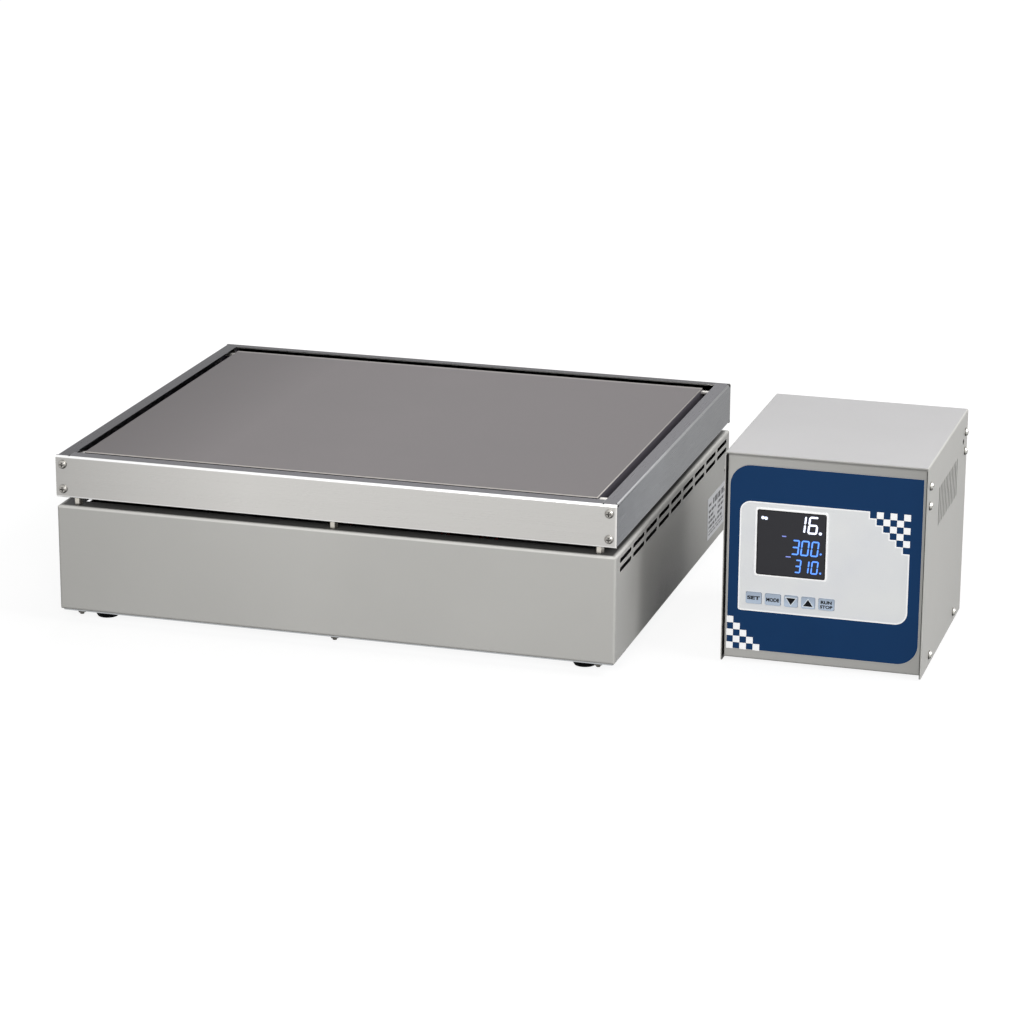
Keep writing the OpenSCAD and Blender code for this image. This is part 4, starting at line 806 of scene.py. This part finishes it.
def lit(digits, dots, swell=0.0):
    """Bars and dots of a group of digits, thicker by swell for the glow round them."""
    shapes = [bar for char, x, z, w, h, t in digits
              for bar in digit(char, x - swell / 2, z - swell / 2, w + swell, h + swell, t + swell)]
    return shapes + [dot(x, z, r + swell / 2) for x, z, r in dots]


on_window("digits_measured_halo", lit(WHITE_DIGITS, WHITE_DOTS, HALO),
          glowing("halo_white", srgb(30, 34, 82), 0.5), INK / 2)
on_window("digits_set_halo", lit(BLUE_DIGITS, BLUE_DOTS, HALO),
          glowing("halo_blue", srgb(42, 48, 104), 0.5), INK / 2)
on_window("digits_measured", lit(WHITE_DIGITS, WHITE_DOTS), white_glow)
on_window("digits_set", lit(BLUE_DIGITS, BLUE_DOTS), blue_glow)
on_window("display_marks", [square(*mark) for mark in ROW_MARKS], pale_glow)
on_window("unit_mark", [dot(*place) for place in UNIT_DOTS] + [square(*UNIT_BAR)], unit_glow)

be_x0, be_x1 = across_front(bezel_lo, bezel_hi)
left, right_end = be_x0 + BEZEL_W + R_WINDOW, be_x1 - BEZEL_W - R_WINDOW
low, high = bezel_lo.z / MM + BEZEL_W + R_WINDOW, bezel_hi.z / MM - BEZEL_W - R_WINDOW
window_outline = (round_corner(left, low, R_WINDOW, 180) + round_corner(right_end, low, R_WINDOW, 270)
                  + round_corner(right_end, high, R_WINDOW, 0) + round_corner(left, high, R_WINDOW, 90))
on_window("window_rim", band(window_outline, WINDOW_RIM), printed("rim_black", srgb(20, 20, 23), rough=0.3))


# Rating label, with rows of plain blocks that say nothing

# Widths of the blocks in turn, places of the columns and rows, and the rows' height, in mm
BLOCK_WIDTHS = (1.9, 1.2, 2.4, 1.5, 1.0, 2.1)
LABEL_H = (label_hi.z - label_lo.z) / MM
FIRST_COLUMN, SECOND_COLUMN = 4, 42
FIRST_ROW, ROW_STEP, ROW_H = 16, 5.4, 2.8


def print_row(x, z, length, height, first, gap=0.7):
    """Blocks side by side from x on, each fifth left out; first is the place in the widths to start at."""
    row, at, i = [], x, first
    while at < x + length:
        w = min(BLOCK_WIDTHS[i % len(BLOCK_WIDTHS)], x + length - at)
        if i % 5 != 4:
            row.append(square(at, z, w, height))
        at += w + gap
        i += 1
    return row


# Rows as left, bottom, length, height and first block, in mm
bold_print = print_row(22, LABEL_H - 10.5, 50, 6.2, 2, 1.0)
bold_print += print_row(FIRST_COLUMN, LABEL_H - 9, 12, 2.6, 0)
faint_print = print_row(FIRST_COLUMN, 4, 60, 1.6, 1) + print_row(FIRST_COLUMN, 7, 64, 1.6, 3)
fine_print = []
for i, length in enumerate((30, 22, 26, 34)):
    z = LABEL_H - FIRST_ROW - ROW_STEP * i
    fine_print += print_row(FIRST_COLUMN, z, length, ROW_H, i)
    fine_print += print_row(SECOND_COLUMN, z, 30 - 3 * i, ROW_H, i + 3)

label_corner = Vector((label_hi.x, label_lo.y, label_lo.z))
across, out = Vector((0, 1, 0)), Vector((1, 0, 0))
label_print = (("label_bold", bold_print, 28), ("label_print", fine_print, 58),
               ("label_faint", faint_print, 112))
for name, blocks, grey in label_print:
    ink = printed(name + "_ink", srgb(grey, grey, grey + 2), rough=0.5)
    prisms(name, blocks, label_corner, across, out, INK, ink, HEATER)


# Key legends

legend_ink = printed("legend_ink", srgb(10, 11, 16))
# Pale halo ink with a faint painted glow
halo_ink = printed("halo_ink", srgb(236, 244, 252), painted_glow=0.06)

# Boldness of the letters, as a share of their size, and depth before they are pressed flat
BOLDNESS = 0.045
LETTER_DEPTH = 0.5

# Key, word, rise over the key's middle, width and height, in mm
LEGENDS = (("key_set", "SET", 0.3, 12.0, 3.5), ("key_mode", "MODE", -0.2, 12.2, 3.6),
           ("key_run", "RUN", 2.1, 10.2, 3.1), ("key_run", "STOP", -2.2, 11.6, 3.1))

# Half width, height and foot of an arrow and of its halo, in mm
ARROW, ARROW_HALO = (4.5, 3.2, 0), (5.8, 4.3, 0.4)


def key_middle(body):
    """Middle of a key, in mm from the controller's left edge and the bench."""
    lo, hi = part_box(body)
    return ((lo.x + hi.x) / 2 - cover_lo.x) / MM, (lo.z + hi.z) / 2 / MM


def lettering(name, word, x, z, width, height, body):
    """Generic word on a key, as raised ink with its width and height, in mm, about a middle."""
    curve = bpy.data.curves.new(name, "FONT")
    curve.body = word
    curve.offset = BOLDNESS
    curve.extrude = LETTER_DEPTH
    text = bpy.data.objects.new(name, curve)
    bpy.context.scene.collection.objects.link(text)
    bpy.context.view_layer.update()
    mesh = bpy.data.meshes.new_from_object(text)
    bpy.data.objects.remove(text)
    xs, ys = [v.co.x for v in mesh.vertices], [v.co.y for v in mesh.vertices]
    middle = Matrix.Translation((-(min(xs) + max(xs)) / 2, -(min(ys) + max(ys)) / 2, 0))
    wide, tall = width * MM / (max(xs) - min(xs)), height * MM / (max(ys) - min(ys))
    fit = Matrix.Diagonal((wide, tall, INK * MM, 1))
    stand = Matrix.Translation((cover_lo.x + x * MM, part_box(body)[0].y - INK * MM / 2, z * MM))
    mesh.transform(stand @ Matrix.Rotation(math.pi / 2, 4, "X") @ fit @ middle)
    mesh.materials.clear()
    mesh.materials.append(legend_ink)
    piece = bpy.data.objects.new(name, mesh)
    bpy.context.scene.collection.objects.link(piece)
    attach(piece, body)
    return piece


for body, word, rise, width, height in LEGENDS:
    x, z = key_middle(body)
    lettering(body + "_" + word.lower(), word, x, z + rise, width, height, body)
for body, way in (("key_down", -1), ("key_up", 1)):
    x, z = key_middle(body)
    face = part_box(body)[0].y
    for name, (half, rise, foot), ink, plane in (("_halo", ARROW_HALO, halo_ink, face),
                                                 ("_arrow", ARROW, legend_ink, face - INK * MM)):
        base = z - way * (rise - foot)
        arrow = [(x - half, base), (x + half, base), (x, z + way * rise)]
        flat_piece(body + name, [arrow[::way]], plane, INK, ink, body)


# Stage, light and camera

# Level of the world's plain light
AMBIENT = 0.1

# Half the floor's width and the ring over which its glow rises, in metres, and its own grey and glow levels
FLOOR_REACH = 12
FLOOR_RING = (0.45, 1.2)
FLOOR_GREY = 0.2
FLOOR_NEAR, FLOOR_FAR = 0.86, 1.0

# Camera at the photograph's place, from the fit to the heating unit's corners, and the picture's width
CAMERA_PLACE = (0.88861, -3.11535, 1.06117)
YAW, PITCH, ROLL = (math.radians(a) for a in (16.3993, 16.8784, 0.3333))
FOCAL_PX = 3481.3
PICTURE_PX = 1024
SENSOR = 36.0


def seen_by_eye(tree):
    """1 for rays from the camera, and for what metal and glass show of the background."""
    path = tree.nodes.new("ShaderNodeLightPath")
    value = path.outputs["Is Camera Ray"]
    for name in ("Is Glossy Ray", "Is Transmission Ray"):
        either = tree.nodes.new("ShaderNodeMath")
        either.operation = "MAXIMUM"
        tree.links.new(value, either.inputs[0])
        tree.links.new(path.outputs[name], either.inputs[1])
        value = either.outputs["Value"]
    return value


def backdrop_shader():
    """White to the camera and to mirrors, plain light for everything else."""
    world = bpy.data.worlds.new("studio")
    bpy.context.scene.world = world
    world.use_nodes = True
    tree = world.node_tree
    background = tree.nodes["Background"]
    level = tree.nodes.new("ShaderNodeMapRange")
    level.inputs["To Min"].default_value = AMBIENT
    level.inputs["To Max"].default_value = 1.0
    tree.links.new(seen_by_eye(tree), level.inputs["Value"])
    background.inputs["Color"].default_value = (1, 1, 1, 1)
    tree.links.new(level.outputs["Result"], background.inputs["Strength"])


def floor_material():
    """Pale floor that is white where it is lit and keeps the shadows."""
    f = Finish("floor_white")
    f.fixed(Base_Color=(FLOOR_GREY, FLOOR_GREY, FLOOR_GREY, 1), Roughness=0.9, Specular_IOR_Level=0.0,
            Emission_Color=(1, 1, 1, 1))
    out = f.add("ShaderNodeVectorMath", operation="LENGTH")
    f.join(f.place, out.inputs[0])
    glow = f.spread(out.outputs["Value"], *FLOOR_RING, FLOOR_NEAR, FLOOR_FAR)
    f.join(f.times(seen_by_eye(f.tree), glow), f.shader.inputs["Emission Strength"])
    return f.material


backdrop_shader()
floor_mesh = bpy.data.meshes.new("floor")
floor_corners = [(x * FLOOR_REACH, y * FLOOR_REACH, 0) for x, y in ((-1, -1), (1, -1), (1, 1), (-1, 1))]
floor_mesh.from_pydata(floor_corners, [], [(0, 1, 2, 3)])
floor_mesh.materials.append(floor_material())
floor = bpy.data.objects.new("floor", floor_mesh)
bpy.context.scene.collection.objects.link(floor)


def area_light(name, place, aim, size, level):
    """Softbox that lights a face turned to it where it aims, to a level where 1 is full white."""
    data = bpy.data.lights.new(name, "AREA")
    data.shape = "RECTANGLE"
    data.size, data.size_y = size
    ray = Vector(aim) - Vector(place)
    data.energy = level * math.pi ** 2 * ray.length_squared
    lamp = bpy.data.objects.new(name, data)
    lamp.location = place
    lamp.rotation_mode = "QUATERNION"
    lamp.rotation_quaternion = ray.to_track_quat("-Z", "Y")
    bpy.context.scene.collection.objects.link(lamp)
    return lamp


area_light("top_softbox", (0.1, 0.4, 2.6), (0, 0, 0), (2.4, 1.8), 0.11)
area_light("front_softbox", (0.3, -2.6, 1.3), (0, 0, 0.1), (1.6, 1.2), 0.56)
area_light("side_softbox", (2.4, 0.1, 1.9), (0.1, 0, 0.1), (2.2, 1.8), 0.65)
area_light("rear_softbox", (-0.2, 2.3, 2.4), (0, 0, 0.1), (2.0, 1.2), 0.24)

forward = Vector((-math.sin(YAW) * math.cos(PITCH), math.cos(YAW) * math.cos(PITCH), -math.sin(PITCH)))
level_right = Vector((math.cos(YAW), math.sin(YAW), 0))
level_up = level_right.cross(forward)
right = math.cos(ROLL) * level_right + math.sin(ROLL) * level_up
up = -math.sin(ROLL) * level_right + math.cos(ROLL) * level_up
camera_data = bpy.data.cameras.new("camera")
camera_data.sensor_width = SENSOR
camera_data.lens = FOCAL_PX / PICTURE_PX * SENSOR
camera = bpy.data.objects.new("camera", camera_data)
turn = Matrix((right, up, -forward)).transposed().to_4x4()
camera.matrix_world = Matrix.Translation(CAMERA_PLACE) @ turn
bpy.context.scene.collection.objects.link(camera)
bpy.context.scene.camera = camera
bpy.context.scene.view_settings.view_transform = "Standard"
